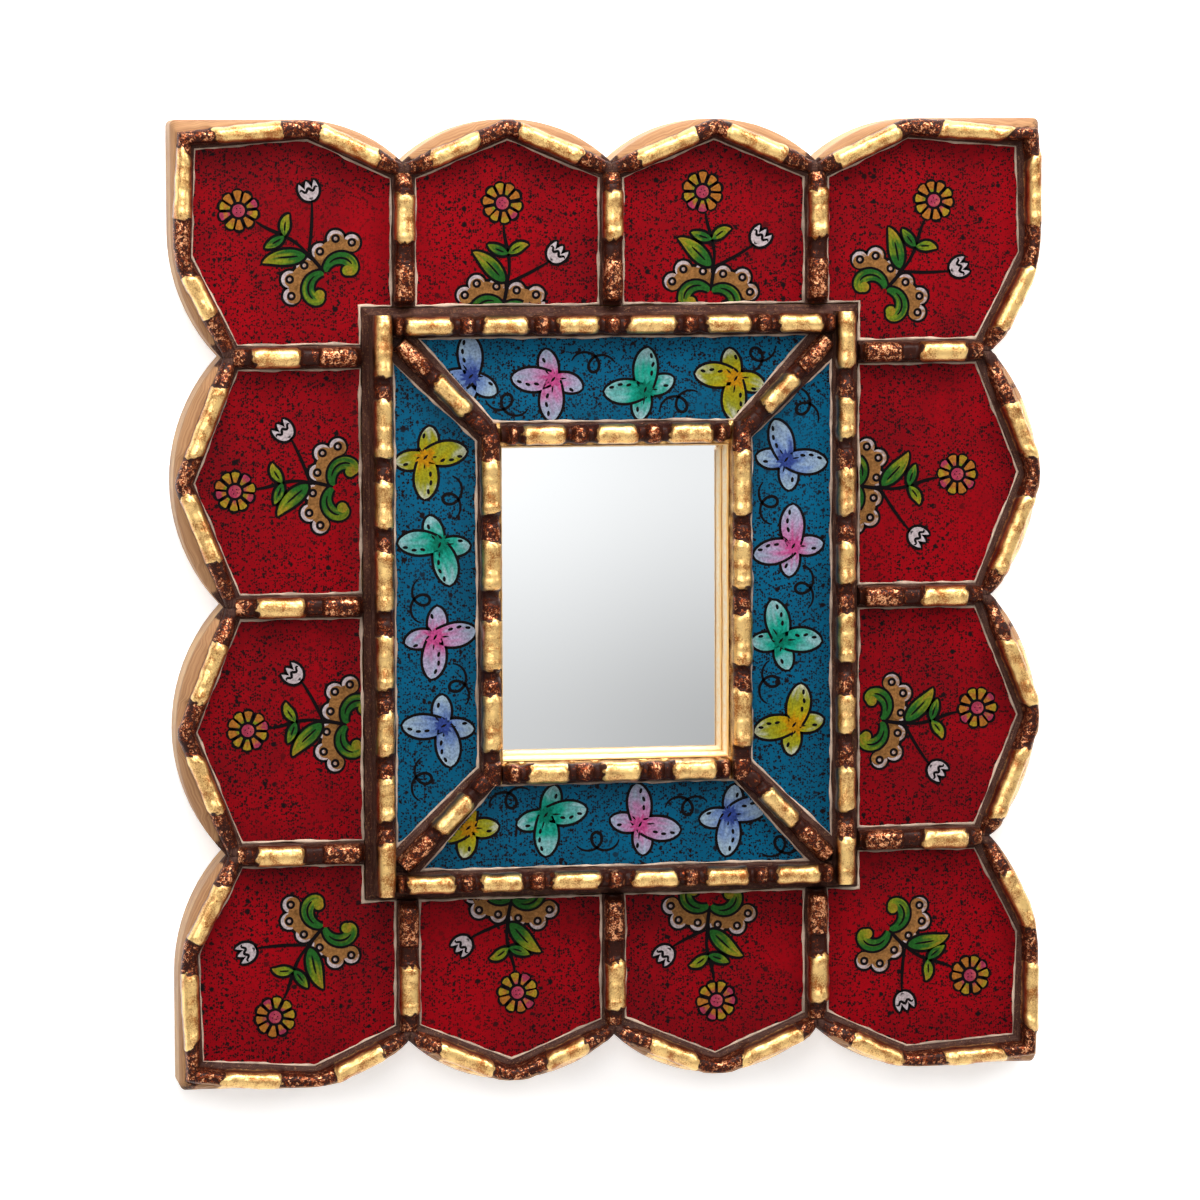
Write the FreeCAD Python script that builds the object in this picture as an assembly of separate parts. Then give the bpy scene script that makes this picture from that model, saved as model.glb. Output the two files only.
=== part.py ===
"""A small wall mirror framed with reverse painted glass, in millimetres.

The mirror hangs on a wall. The wall is the plane Y = 0, the front faces -Y, +X is the viewer's right and
+Z is up. The origin is the middle of the back. A height, here, is a distance in front of the wall.
"""

import FreeCAD
import Part

import math
import os

from FreeCAD import Vector

# Outline of the frame
overall_width = 228.0
overall_height = 250.0
petal_pitch_x = 54.3
petal_pitch_z = 64.2
scallop_depth_side = 12.6
scallop_depth_top = 11.0
outline_corner_radius = 1.6

# Thicknesses
board_thickness = 10.5
plinth_thickness = 4.2
glass_thickness = 2.0
mirror_thickness = 3.0
back_panel_thickness = 3.0

# Fits between neighbours
glue_gap = 0.1
glass_gap = 0.25
pane_gap = 0.3

# Moulding section, heights measured from what it is glued on
strip_base_width = 5.8
strip_base_height = 3.2
ridge_width = 4.1
ridge_flare = 0.6
ridge_flare_height = 1.6
ridge_spring_height = 5.8
bead_diameter = 4.6
bead_axis_height = 6.5
bead_end_round = 1.4
reel_diameter = 4.3
reel_length = 2.8
reel_end_round = 1.1

# Rims of the petals
rim_apex_width = 4.8
rim_shoulder_drop = 3.9
rim_corner_width_x = 5.8
rim_corner_width_z = 7.1
rim_flange = 0.6
rim_bead_share = 0.62
corner_apex_shift_x = 2.6
corner_apex_shift_z = 6.4

# Dividers between the petals
divider_bead_length = 12.4
divider_bead_share = 0.68
divider_copper_length = 9.0
divider_copper_share = 0.2

# Raised middle: distances between the centre lines of opposite strips
panel_frame_width = 121.4
panel_frame_height = 144.2
mirror_frame_width = 66.0
mirror_frame_height = 87.8
frame_bead_length = 11.2
beads_per_panel_frame_top = 6
beads_per_panel_frame_side = 8
beads_per_mirror_frame_top = 3
beads_per_mirror_frame_side = 4
plinth_margin = 1.9
sight_step = 0.5
mitre_inner_width = 6.2
mitre_outer_width = 8.8
mitre_bead_length = 11.4
mitre_bead_share = 0.36

# Mirror seat and back panel
mirror_overlap = 4.0
back_panel_overlap = 5.0
nail_head_diameter = 3.2
nail_head_thickness = 0.7
nail_shank_diameter = 1.2
nail_length = 7.0
nails_per_long_side = 3
nails_per_short_side = 2
nail_corner_distance = 12.0

# Hanger in its pocket in the back of the board
hanger_pocket_depth = 5.0
hanger_pocket_margin = 3.5
hanger_pivot_height = 86.0
strap_width = 9.0
strap_thickness = 0.8
strap_end_margin = 1.5
ring_wire_diameter = 2.0
ring_eye_clearance = 0.06
ring_swing_clearance = 0.35
ring_inside_width = 14.0
ring_side_length = 4.0
ring_corner_radius = 2.6
screw_head_diameter = 4.6
screw_head_height = 1.5
screw_shank_diameter = 2.4
screw_wood_length = 4.2
screw_ring_clearance = 0.8
screw_spacing = 6.5

# Worked out from the above
half_width = overall_width / 2
half_height = overall_height / 2
valley_x = half_width - scallop_depth_side
valley_z = half_height - scallop_depth_top
side_scallop_radius = ((petal_pitch_z / 2) ** 2 + scallop_depth_side**2) / (2 * scallop_depth_side)
top_scallop_radius = ((petal_pitch_x / 2) ** 2 + scallop_depth_top**2) / (2 * scallop_depth_top)
shoulder_x = valley_x - rim_shoulder_drop
shoulder_z = valley_z - rim_shoulder_drop
half_strip = strip_base_width / 2
plinth_front = board_thickness + plinth_thickness
plinth_half_width = panel_frame_width / 2 + half_strip + plinth_margin
plinth_half_height = panel_frame_height / 2 + half_strip + plinth_margin
sight_half_width = mirror_frame_width / 2 - half_strip - sight_step
sight_half_height = mirror_frame_height / 2 - half_strip - sight_step
mirror_half_width = sight_half_width + mirror_overlap
mirror_half_height = sight_half_height + mirror_overlap
panel_half_width = mirror_half_width + pane_gap + back_panel_overlap
panel_half_height = mirror_half_height + pane_gap + back_panel_overlap
rim_bead_offset = rim_flange + ridge_width / 2
tallest_moulding = bead_axis_height + bead_diameter
ring_wire_radius = ring_wire_diameter / 2
ring_half_width = ring_inside_width / 2 + ring_wire_radius
ring_reach = ring_corner_radius + ring_side_length + ring_half_width + ring_wire_radius
pivot_depth = hanger_pocket_depth - strap_thickness - ring_swing_clearance - ring_wire_radius
screw_first_distance = ring_reach + screw_ring_clearance + screw_head_diameter / 2
strap_length = screw_first_distance + screw_spacing + screw_head_diameter / 2 + strap_end_margin


def point(x, z, height):
    """A point at plan position x, z and at a height in front of the wall."""
    return Vector(x, -height, z)


def plan_direction(start, end):
    """The unit direction from start to end, both plan positions, and their distance."""
    run = Vector(end[0] - start[0], 0, end[1] - start[1])
    length = run.Length
    return run.multiply(1 / length), length


def along(start, end, share):
    """The plan position a share of the way from start to end."""
    return (start[0] + share * (end[0] - start[0]), start[1] + share * (end[1] - start[1]))


def polygon_face(corners, height):
    """A flat face through plan positions, at one height."""
    loop = [point(x, z, height) for x, z in corners]
    return Part.Face(Part.makePolygon(loop + loop[:1]))


def raised(face, rise):
    """The solid between a flat face and the same face a rise further from the wall."""
    return face.extrude(Vector(0, -rise, 0))


def prism(corners, low, high):
    """A solid with straight sides over a plan polygon, between two heights."""
    return raised(polygon_face(corners, low), high - low)


def rectangle(x0, z0, x1, z1):
    """The corners of a plan rectangle."""
    return [(x0, z0), (x1, z0), (x1, z1), (x0, z1)]


def block(half_x, half_z, low, high):
    """A rectangular block centred on the mirror, between two heights."""
    return prism(rectangle(-half_x, -half_z, half_x, half_z), low, high)


def inset(corners, distance):
    """The corners of a plan polygon moved inwards, so that each side moves by a distance."""
    count = len(corners)
    area = sum(
        corners[i][0] * corners[(i + 1) % count][1] - corners[(i + 1) % count][0] * corners[i][1]
        for i in range(count)
    )
    turn = math.copysign(1.0, area)
    moved = []
    for i in range(count):
        before, here, after = corners[i - 1], corners[i], corners[(i + 1) % count]
        first, _ = plan_direction(before, here)
        second, _ = plan_direction(here, after)
        cross = first.x * second.z - first.z * second.x
        bend = distance * turn / cross
        moved.append((here[0] + bend * (second.x - first.x), here[1] + bend * (second.z - first.z)))
    return moved


def mirrored(shape, flip_x, flip_z):
    """A copy of a shape on the other side of the upright or the level middle plane, or of both."""
    copy = shape.copy()
    if flip_x:
        copy = copy.mirror(Vector(0, 0, 0), Vector(1, 0, 0))
    if flip_z:
        copy = copy.mirror(Vector(0, 0, 0), Vector(0, 0, 1))
    return copy


def fused(shapes):
    """One solid from several that overlap."""
    whole = shapes[0].fuse(shapes[1:]) if len(shapes) > 1 else shapes[0]
    return whole.removeSplitter()


# Mouldings


def ridge(start, end, seat):
    """The carved ridge along a moulding: flared sides and a round top, before the beads are added."""
    direction, length = plan_direction(start, end)
    across = Vector(direction.z, 0, -direction.x)
    foot = point(start[0], start[1], seat)
    half = ridge_width / 2

    def at(offset, height):
        return foot + across * offset + Vector(0, -height, 0)

    flare_top = strip_base_height + ridge_flare_height
    sides = [
        at(half, ridge_spring_height),
        at(half, flare_top),
        at(half + ridge_flare, strip_base_height),
        at(half + ridge_flare, 0),
        at(-half - ridge_flare, 0),
        at(-half - ridge_flare, strip_base_height),
        at(-half, flare_top),
        at(-half, ridge_spring_height),
    ]
    crown = Part.Arc(sides[-1], at(0, ridge_spring_height + half), sides[0]).toShape()
    section = Part.Face(Part.Wire([*Part.makePolygon(sides).Edges, crown]))
    return section.extrude(direction * length)


def rod(middle, direction, length, diameter, end_round, height):
    """A round bead with rounded ends, lying along a plan direction at a height."""
    axis_start = point(middle[0], middle[1], height) - direction * (length / 2)
    radius = diameter / 2
    front = Vector(0, -1, 0)

    def at(distance, offset):
        return axis_start + direction * distance + front * offset

    lean = end_round * (1 - math.sqrt(0.5))
    profile = [
        Part.makeLine(at(0, 0), at(0, radius - end_round)),
        Part.Arc(at(0, radius - end_round), at(lean, radius - lean), at(end_round, radius)).toShape(),
        Part.makeLine(at(end_round, radius), at(length - end_round, radius)),
        Part.Arc(
            at(length - end_round, radius), at(length - lean, radius - lean), at(length, radius - end_round)
        ).toShape(),
        Part.makeLine(at(length, radius - end_round), at(length, 0)),
        Part.makeLine(at(length, 0), at(0, 0)),
    ]
    return Part.Face(Part.Wire(profile)).revolve(axis_start, direction, 360)


def bead(middle, direction, length, seat):
    """One long gilded bead of a moulding that stands on a seat height."""
    return rod(middle, direction, length, bead_diameter, bead_end_round, seat + bead_axis_height)


def reel(middle, direction, length, seat):
    """One copper coloured reel, a little thinner than a bead."""
    return rod(middle, direction, length, reel_diameter, reel_end_round, seat + bead_axis_height)


def moulding(plan, runs, seat, ornaments):
    """A glued-on moulding: a flat base over its plan face, ridges along its runs, and ornaments."""
    room = raised(plan, tallest_moulding)
    ridges = [ridge(start, end, seat).common(room) for start, end in runs]
    return fused([raised(plan, strip_base_height), *ridges, *ornaments])


def strip_plan(start, end, seat):
    """The flat face that a straight strip is glued down by."""
    direction, _ = plan_direction(start, end)
    across = (direction.z * half_strip, -direction.x * half_strip)
    corners = [
        (start[0] + across[0], start[1] + across[1]),
        (end[0] + across[0], end[1] + across[1]),
        (end[0] - across[0], end[1] - across[1]),
        (start[0] - across[0], start[1] - across[1]),
    ]
    return polygon_face(corners, seat)


def straight_strip(start, end, seat, count):
    """A straight frame strip between two plan positions, with a row of beads and a reel in each gap."""
    direction, _ = plan_direction(start, end)
    places = [along(start, end, (i + 0.5) / count) for i in range(count)]
    gaps = [along(start, end, i / count) for i in range(1, count)]
    ornaments = [bead(place, direction, frame_bead_length, seat) for place in places]
    ornaments += [reel(place, direction, reel_length, seat) for place in gaps]
    return moulding(strip_plan(start, end, seat), [(start, end)], seat, ornaments)


def divider(start, end):
    """A strip between two petals: a copper length near the plinth and a gilded bead further out."""
    direction, _ = plan_direction(start, end)
    seat = board_thickness
    gilded = along(start, end, divider_bead_share)
    copper = along(start, end, divider_copper_share)
    ornaments = [
        bead(gilded, direction, divider_bead_length, seat),
        reel(copper, direction, divider_copper_length, seat),
    ]
    return moulding(strip_plan(start, end, seat), [(start, end)], seat, ornaments)


# Outline of the board


def arc(start, middle, end, height):
    """A circular edge through three plan positions."""
    return Part.Arc(point(*start, height), point(*middle, height), point(*end, height)).toShape()


def line(start, end, height):
    """A straight edge between two plan positions."""
    return Part.makeLine(point(*start, height), point(*end, height))


def corner_outline(height):
    """The outer edge of the top right corner petal, from the valley on top to the one at the side."""
    top_valley = (petal_pitch_x, valley_z)
    top_end = (1.5 * petal_pitch_x, half_height)
    side_end = (half_width, 1.5 * petal_pitch_z)
    side_valley = (valley_x, petal_pitch_z)
    radius = outline_corner_radius
    lean = radius * (1 - math.sqrt(0.5))
    top_turn = math.asin(petal_pitch_x / 2 / top_scallop_radius) / 2
    side_turn = math.asin(petal_pitch_z / 2 / side_scallop_radius) / 2
    top_middle = (
        top_end[0] - top_scallop_radius * math.sin(top_turn),
        half_height - top_scallop_radius * (1 - math.cos(top_turn)),
    )
    side_middle = (
        half_width - side_scallop_radius * (1 - math.cos(side_turn)),
        side_end[1] - side_scallop_radius * math.sin(side_turn),
    )
    return [
        arc(top_valley, top_middle, top_end, height),
        line(top_end, (half_width - radius, half_height), height),
        arc(
            (half_width - radius, half_height),
            (half_width - lean, half_height - lean),
            (half_width, half_height - radius),
            height,
        ),
        line((half_width, half_height - radius), side_end, height),
        arc(side_end, side_middle, side_valley, height),
    ]


def top_outline(height):
    """The outer edge of the petal to the right of the middle on top."""
    return [arc((0, valley_z), (petal_pitch_x / 2, half_height), (petal_pitch_x, valley_z), height)]


def side_outline(height):
    """The outer edge of the petal above the middle at the right."""
    return [arc((valley_x, petal_pitch_z), (half_width, petal_pitch_z / 2), (valley_x, 0), height)]


def board_face():
    """The scalloped outline of the whole frame, on the wall plane."""
    quarter = top_outline(0) + corner_outline(0) + side_outline(0)
    edges = [mirrored(edge, x, z) for x in (False, True) for z in (False, True) for edge in quarter]
    return Part.Face(Part.Wire(Part.__sortEdges__(edges)))


# Petals: the glass edge, then the rim between that and the outline

top_glass = [
    (half_strip, plinth_half_height),
    (half_strip, shoulder_z),
    (petal_pitch_x / 2, half_height - rim_apex_width),
    (petal_pitch_x - half_strip, shoulder_z),
    (petal_pitch_x - half_strip, plinth_half_height),
]
side_glass = [
    (plinth_half_width, petal_pitch_z - half_strip),
    (shoulder_x, petal_pitch_z - half_strip),
    (half_width - rim_apex_width, petal_pitch_z / 2),
    (shoulder_x, half_strip),
    (plinth_half_width, half_strip),
]
corner_glass = [
    (petal_pitch_x + half_strip, plinth_half_height),
    (petal_pitch_x + half_strip, shoulder_z),
    (1.5 * petal_pitch_x - corner_apex_shift_x, half_height - rim_apex_width),
    (half_width - rim_corner_width_x, half_height - rim_corner_width_z),
    (half_width - rim_apex_width, 1.5 * petal_pitch_z - corner_apex_shift_z),
    (shoulder_x, petal_pitch_z + half_strip),
    (plinth_half_width, petal_pitch_z + half_strip),
    (plinth_half_width, plinth_half_height),
]


def rim(outline, inner, start_end, last_end):
    """A petal's rim: the board's outline outside, the glass edge inside, and a gilded bead along each side.

    inner lists the glass corners from one divider to the next. start_end and last_end are the plan
    positions on the divider centre lines where the rim stops.
    """
    seat = board_thickness
    steps = [last_end, *reversed(inner), start_end]
    valley_start = outline[0].valueAt(outline[0].FirstParameter)
    valley_end = outline[-1].valueAt(outline[-1].LastParameter)
    loop = [valley_end, *[point(x, z, seat) for x, z in steps], valley_start]
    plan = Part.Face(Part.Wire(Part.__sortEdges__([*outline, *Part.makePolygon(loop).Edges])))
    runs, ornaments = [], []
    for first, second in zip(inner, inner[1:]):
        direction, length = plan_direction(first, second)
        outwards = Vector(-direction.z, 0, direction.x) * rim_bead_offset
        reach = strip_base_width
        start = (first[0] + outwards.x - direction.x * reach, first[1] + outwards.z - direction.z * reach)
        end = (second[0] + outwards.x + direction.x * reach, second[1] + outwards.z + direction.z * reach)
        runs.append((start, end))
        ornaments.append(bead(along(start, end, 0.5), direction, length * rim_bead_share, seat))
    return moulding(plan, runs, seat, ornaments)


def glass_pane(corners, seat):
    """A pane that lies on its seat, clear of the mouldings round it."""
    return prism(inset(corners, glass_gap), seat, seat + glass_thickness)


def petals():
    """The rims and red panes: each shape is made once, at the top right, and mirrored to its other places."""
    seat = board_thickness
    half_gap = glue_gap / 2
    made = {
        "corner": (
            rim(
                corner_outline(seat),
                corner_glass[1:6],
                (petal_pitch_x + half_gap, shoulder_z),
                (shoulder_x, petal_pitch_z + half_gap),
            ),
            glass_pane(corner_glass, seat),
        ),
        "top": (
            rim(
                top_outline(seat),
                top_glass[1:4],
                (half_gap, shoulder_z),
                (petal_pitch_x - half_gap, shoulder_z),
            ),
            glass_pane(top_glass, seat),
        ),
        "side": (
            rim(
                side_outline(seat),
                side_glass[1:4],
                (shoulder_x, petal_pitch_z - half_gap),
                (shoulder_x, half_gap),
            ),
            glass_pane(side_glass, seat),
        ),
    }
    names = {
        "corner": lambda x, z: f"corner_{'bottom' if z else 'top'}_{'left' if x else 'right'}",
        "top": lambda x, z: f"{'bottom' if z else 'top'}_{'left' if x else 'right'}",
        "side": lambda x, z: f"{'left' if x else 'right'}_{'lower' if z else 'upper'}",
    }
    nodes = {}
    for kind, (edge, pane) in made.items():
        for x in (False, True):
            for z in (False, True):
                name = names[kind](x, z)
                nodes[f"rim_{name}"] = mirrored(edge, x, z)
                nodes[f"red_glass_{name}"] = mirrored(pane, x, z)
    return nodes


def dividers():
    """Three dividers on each side of the frame, from the plinth out to the rims."""
    nodes = {}
    for place, x in (("left", -petal_pitch_x), ("middle", 0.0), ("right", petal_pitch_x)):
        strip = divider((x, plinth_half_height + glue_gap), (x, shoulder_z - glue_gap))
        nodes[f"divider_top_{place}"] = strip
        nodes[f"divider_bottom_{place}"] = mirrored(strip, False, True)
    for place, z in (("lower", -petal_pitch_z), ("middle", 0.0), ("upper", petal_pitch_z)):
        strip = divider((plinth_half_width + glue_gap, z), (shoulder_x - glue_gap, z))
        nodes[f"divider_right_{place}"] = strip
        nodes[f"divider_left_{place}"] = mirrored(strip, True, False)
    return nodes


# Raised middle


def plinth():
    """The raised layer round the mirror. Its outer edge slopes up to the panel frame."""
    half_x = plinth_half_width - glass_gap
    half_z = plinth_half_height - glass_gap
    whole = block(half_x, half_z, board_thickness, plinth_front)
    front_edges = [
        edge
        for edge in whole.Edges
        if all(abs(vertex.Y + plinth_front) < 1e-6 for vertex in edge.Vertexes)
    ]
    sloped = whole.makeChamfer(plinth_margin - glass_gap, front_edges)
    return sloped.cut(block(sight_half_width, sight_half_height, 0, plinth_front + 1))


def frame_strips(prefix, width, height, across, up):
    """Four strips round a rectangle: the side strips run full height and the others fit between them."""
    x, z = width / 2, height / 2
    side = straight_strip((x, -z - half_strip), (x, z + half_strip), plinth_front, up)
    inner = x - half_strip - glue_gap
    level = straight_strip((-inner, z), (inner, z), plinth_front, across)
    return {
        f"{prefix}_right": side,
        f"{prefix}_left": mirrored(side, True, False),
        f"{prefix}_top": level,
        f"{prefix}_bottom": mirrored(level, False, True),
    }


def crossing(start, direction, x=None, z=None):
    """The plan position where a line meets an upright or a level line."""
    share = (x - start[0]) / direction.x if x is not None else (z - start[1]) / direction.z
    return (start[0] + share * direction.x, start[1] + share * direction.z)


inner_x = mirror_frame_width / 2 + half_strip
inner_z = mirror_frame_height / 2 + half_strip
outer_x = panel_frame_width / 2 - half_strip
outer_z = panel_frame_height / 2 - half_strip
mitre_direction, _ = plan_direction((inner_x, inner_z), (outer_x, outer_z))


def mitre_side(sign):
    """Start and direction of one long side of the top right mitre strip."""
    across = (-mitre_direction.z * sign, mitre_direction.x * sign)
    start = (inner_x + across[0] * mitre_inner_width / 2, inner_z + across[1] * mitre_inner_width / 2)
    end = (outer_x + across[0] * mitre_outer_width / 2, outer_z + across[1] * mitre_outer_width / 2)
    return start, plan_direction(start, end)[0]


upper_side = mitre_side(1)
lower_side = mitre_side(-1)
mitre_upper_inner = crossing(*upper_side, z=inner_z)
mitre_upper_outer = crossing(*upper_side, z=outer_z)
mitre_lower_inner = crossing(*lower_side, x=inner_x)
mitre_lower_outer = crossing(*lower_side, x=outer_x)


def mitre_strips():
    """Four strips from the corners of the mirror frame to those of the panel frame."""
    low = (inner_x, inner_z)
    high = (outer_x, outer_z)
    corners = [mitre_upper_inner, mitre_upper_outer, high, mitre_lower_outer, mitre_lower_inner, low]
    plan = polygon_face(inset(corners, glue_gap), plinth_front)
    middle = along(low, high, mitre_bead_share)
    gilded = bead(middle, mitre_direction, mitre_bead_length, plinth_front)
    strip = moulding(plan, [(low, high)], plinth_front, [gilded])
    return Part.makeCompound([mirrored(strip, x, z) for x in (False, True) for z in (False, True)])


def blue_panes():
    """The four blue panes between the panel frame, the mirror frame and the mitre strips."""
    level = [
        mitre_upper_inner,
        mitre_upper_outer,
        (-mitre_upper_outer[0], outer_z),
        (-mitre_upper_inner[0], inner_z),
    ]
    upright = [
        mitre_lower_inner,
        mitre_lower_outer,
        (outer_x, -mitre_lower_outer[1]),
        (inner_x, -mitre_lower_inner[1]),
    ]
    top = glass_pane(level, plinth_front)
    right = glass_pane(upright, plinth_front)
    return {
        "blue_glass_top": top,
        "blue_glass_bottom": mirrored(top, False, True),
        "blue_glass_right": right,
        "blue_glass_left": mirrored(right, True, False),
    }


# Mirror, packing, back panel and its nails


def mirror_pane():
    """The mirror glass, held against the back of the plinth."""
    return block(mirror_half_width, mirror_half_height, board_thickness - mirror_thickness, board_thickness)


def packing():
    """Card packing between the mirror and the back panel."""
    return block(
        mirror_half_width, mirror_half_height, back_panel_thickness, board_thickness - mirror_thickness
    )


def nail_places():
    """Plan positions of the back panel's nails, in the middle of the ledge that the panel lies on."""
    x = panel_half_width - back_panel_overlap / 2
    z = panel_half_height - back_panel_overlap / 2
    reach = panel_half_height - nail_corner_distance
    span = panel_half_width - nail_corner_distance
    rows = [-reach + 2 * reach * i / (nails_per_long_side - 1) for i in range(nails_per_long_side)]
    columns = [-span + 2 * span * i / (nails_per_short_side - 1) for i in range(nails_per_short_side)]
    places = [(side * x, row) for side in (-1, 1) for row in rows]
    return places + [(column, side * z) for side in (-1, 1) for column in columns]


def nail(x, z):
    """A flat-headed nail, driven in from the back until its head is flush."""
    inwards = Vector(0, -1, 0)
    head = Part.makeCylinder(nail_head_diameter / 2, nail_head_thickness, point(x, z, 0), inwards)
    shank = Part.makeCylinder(nail_shank_diameter / 2, nail_length, point(x, z, 0), inwards)
    return fused([head, shank])


def back_panel(nails):
    """A thin panel let into the back of the board."""
    whole = block(panel_half_width - pane_gap, panel_half_height - pane_gap, 0, back_panel_thickness)
    return whole.cut(nails)


# Hanger


def hanger_strap():
    """A flat strap with a rolled eye for the ring at its upper end and two screw holes."""
    floor = hanger_pocket_depth
    eye_radius = ring_wire_radius + ring_eye_clearance
    pivot = point(-strap_width / 2, hanger_pivot_height, pivot_depth)
    sideways = Vector(1, 0, 0)
    roll = Part.makeCylinder(eye_radius + strap_thickness, strap_width, pivot, sideways)
    half = strap_width / 2
    bottom = hanger_pivot_height - strap_length
    plate = prism(rectangle(-half, bottom, half, hanger_pivot_height), floor - strap_thickness, floor)
    web = prism(
        rectangle(-half, hanger_pivot_height - eye_radius, half, hanger_pivot_height + eye_radius),
        pivot_depth,
        floor,
    )
    bore = Part.makeCylinder(eye_radius, strap_width, pivot, sideways)
    strap = fused([roll, plate, web]).cut(bore)
    for z in screw_heights():
        hole = Part.makeCylinder(screw_shank_diameter / 2, floor, point(0, z, 0), Vector(0, -1, 0))
        strap = strap.cut(hole)
    return strap


def screw_heights():
    """Heights of the two hanger screws above the middle of the mirror."""
    first = hanger_pivot_height - screw_first_distance
    return (first, first - screw_spacing)


def hanger_ring():
    """A D shaped wire ring, hanging down: a straight bar in the strap's eye, two sides and a round end."""
    half, corner = ring_half_width, ring_corner_radius
    top = hanger_pivot_height
    side_end = top - corner - ring_side_length
    lean = corner * (1 - math.sqrt(0.5))

    def at(x, z):
        return point(x, z, pivot_depth)

    bar_start = at(-half + corner, top)
    bar_end = at(half - corner, top)
    right_start = at(half, top - corner)
    left_end = at(-half, top - corner)
    path = Part.Wire(
        [
            Part.makeLine(bar_start, bar_end),
            Part.Arc(bar_end, at(half - lean, top - lean), right_start).toShape(),
            Part.makeLine(right_start, at(half, side_end)),
            Part.Arc(at(half, side_end), at(0, side_end - half), at(-half, side_end)).toShape(),
            Part.makeLine(at(-half, side_end), left_end),
            Part.Arc(left_end, at(-half + lean, top - lean), bar_start).toShape(),
        ]
    )
    section = Part.Wire(Part.makeCircle(ring_wire_radius, bar_start, Vector(1, 0, 0)))
    return path.makePipeShell([section], True, False)


def hanger_screw(z):
    """A round-headed screw through the strap into the board."""
    plate_front = hanger_pocket_depth - strap_thickness
    inwards = Vector(0, -1, 0)
    head = Part.makeCylinder(
        screw_head_diameter / 2, screw_head_height, point(0, z, plate_front - screw_head_height), inwards
    )
    back_edges = [edge for edge in head.Edges if all(v.Y > -plate_front + 1e-6 for v in edge.Vertexes)]
    domed = head.makeFillet(screw_head_height * 0.6, back_edges)
    shank_length = strap_thickness + screw_wood_length
    shank = Part.makeCylinder(screw_shank_diameter / 2, shank_length, point(0, z, plate_front), inwards)
    return fused([domed, shank])


def hanger_pocket():
    """The room for the strap and for the ring, hanging down or standing up."""
    half = ring_half_width + ring_wire_radius + hanger_pocket_margin
    bottom = hanger_pivot_height - strap_length - hanger_pocket_margin
    top = hanger_pivot_height + ring_reach + hanger_pocket_margin
    return prism(rectangle(-half, bottom, half, top), 0, hanger_pocket_depth)


def board(nails, screws):
    """The scalloped board, open behind the mirror, with a ledge for the back panel and a hanger pocket."""
    opening = block(mirror_half_width + pane_gap, mirror_half_height + pane_gap, 0, board_thickness)
    ledge = block(panel_half_width, panel_half_height, 0, back_panel_thickness)
    whole = raised(board_face(), board_thickness)
    return whole.cut([opening, ledge, hanger_pocket(), nails, screws])


def assembly():
    """Every node of the mirror, by name."""
    nails = Part.makeCompound([nail(x, z) for x, z in nail_places()])
    screws = Part.makeCompound([hanger_screw(z) for z in screw_heights()])
    nodes = {
        "frame_board": board(nails, screws),
        "center_plinth": plinth(),
        "mitre_strips": mitre_strips(),
        "mirror_glass": mirror_pane(),
        "mirror_packing": packing(),
        "back_panel": back_panel(nails),
        "back_panel_nails": nails,
        "hanger_strap": hanger_strap(),
        "hanger_ring": hanger_ring(),
        "hanger_screws": screws,
    }
    nodes |= petals()
    nodes |= dividers()
    nodes |= frame_strips(
        "panel_frame",
        panel_frame_width,
        panel_frame_height,
        beads_per_panel_frame_top,
        beads_per_panel_frame_side,
    )
    nodes |= frame_strips(
        "mirror_frame",
        mirror_frame_width,
        mirror_frame_height,
        beads_per_mirror_frame_top,
        beads_per_mirror_frame_side,
    )
    nodes |= blue_panes()
    return nodes


def main():
    """Writes one STEP file for each node."""
    os.makedirs("parts", exist_ok=True)
    for name, shape in sorted(assembly().items()):
        solids = shape.Solids
        sound = all(solid.isValid() and solid.Volume > 0 for solid in solids)
        print(f"{name}: {len(solids)} solid(s), {shape.Volume:.0f} mm3, {'valid' if sound else 'NOT VALID'}")
        shape.exportStep(f"parts/{name}.step")


if __name__ == "__main__":
    main()
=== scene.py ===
"""The painted and gilded surfaces of a small wall mirror framed with reverse painted glass.

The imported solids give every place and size. Carved mouldings, painted flowers and butterflies, and the putty
lines round the panes are worked out here as surfaces over those solids, and each piece gets its finish.
Plan positions are (x, z) in millimetres, seen from the front; a height is a distance in front of the wall.
"""

import math

import bpy
import numpy as np
from bpy.props import FloatProperty, FloatVectorProperty, IntProperty, PointerProperty
from mathutils import Matrix, Vector


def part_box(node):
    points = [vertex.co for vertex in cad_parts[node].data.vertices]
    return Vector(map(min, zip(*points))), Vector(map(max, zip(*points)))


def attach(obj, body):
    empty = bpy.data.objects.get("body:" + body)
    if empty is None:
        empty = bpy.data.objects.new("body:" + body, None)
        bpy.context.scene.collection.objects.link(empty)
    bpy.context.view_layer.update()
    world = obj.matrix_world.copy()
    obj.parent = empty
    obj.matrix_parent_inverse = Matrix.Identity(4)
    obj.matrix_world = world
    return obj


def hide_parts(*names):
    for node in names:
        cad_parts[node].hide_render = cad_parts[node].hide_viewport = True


bl_info = {
    "name": "Painted Glass Mirror",
    "version": (1, 0, 0),
    "blender": (4, 5, 0),
    "location": "3D View > Sidebar > Painted Mirror",
    "description": "Dresses the mirror's solids with carving, gilding and reverse painted glass",
    "category": "Object",
}

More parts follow.
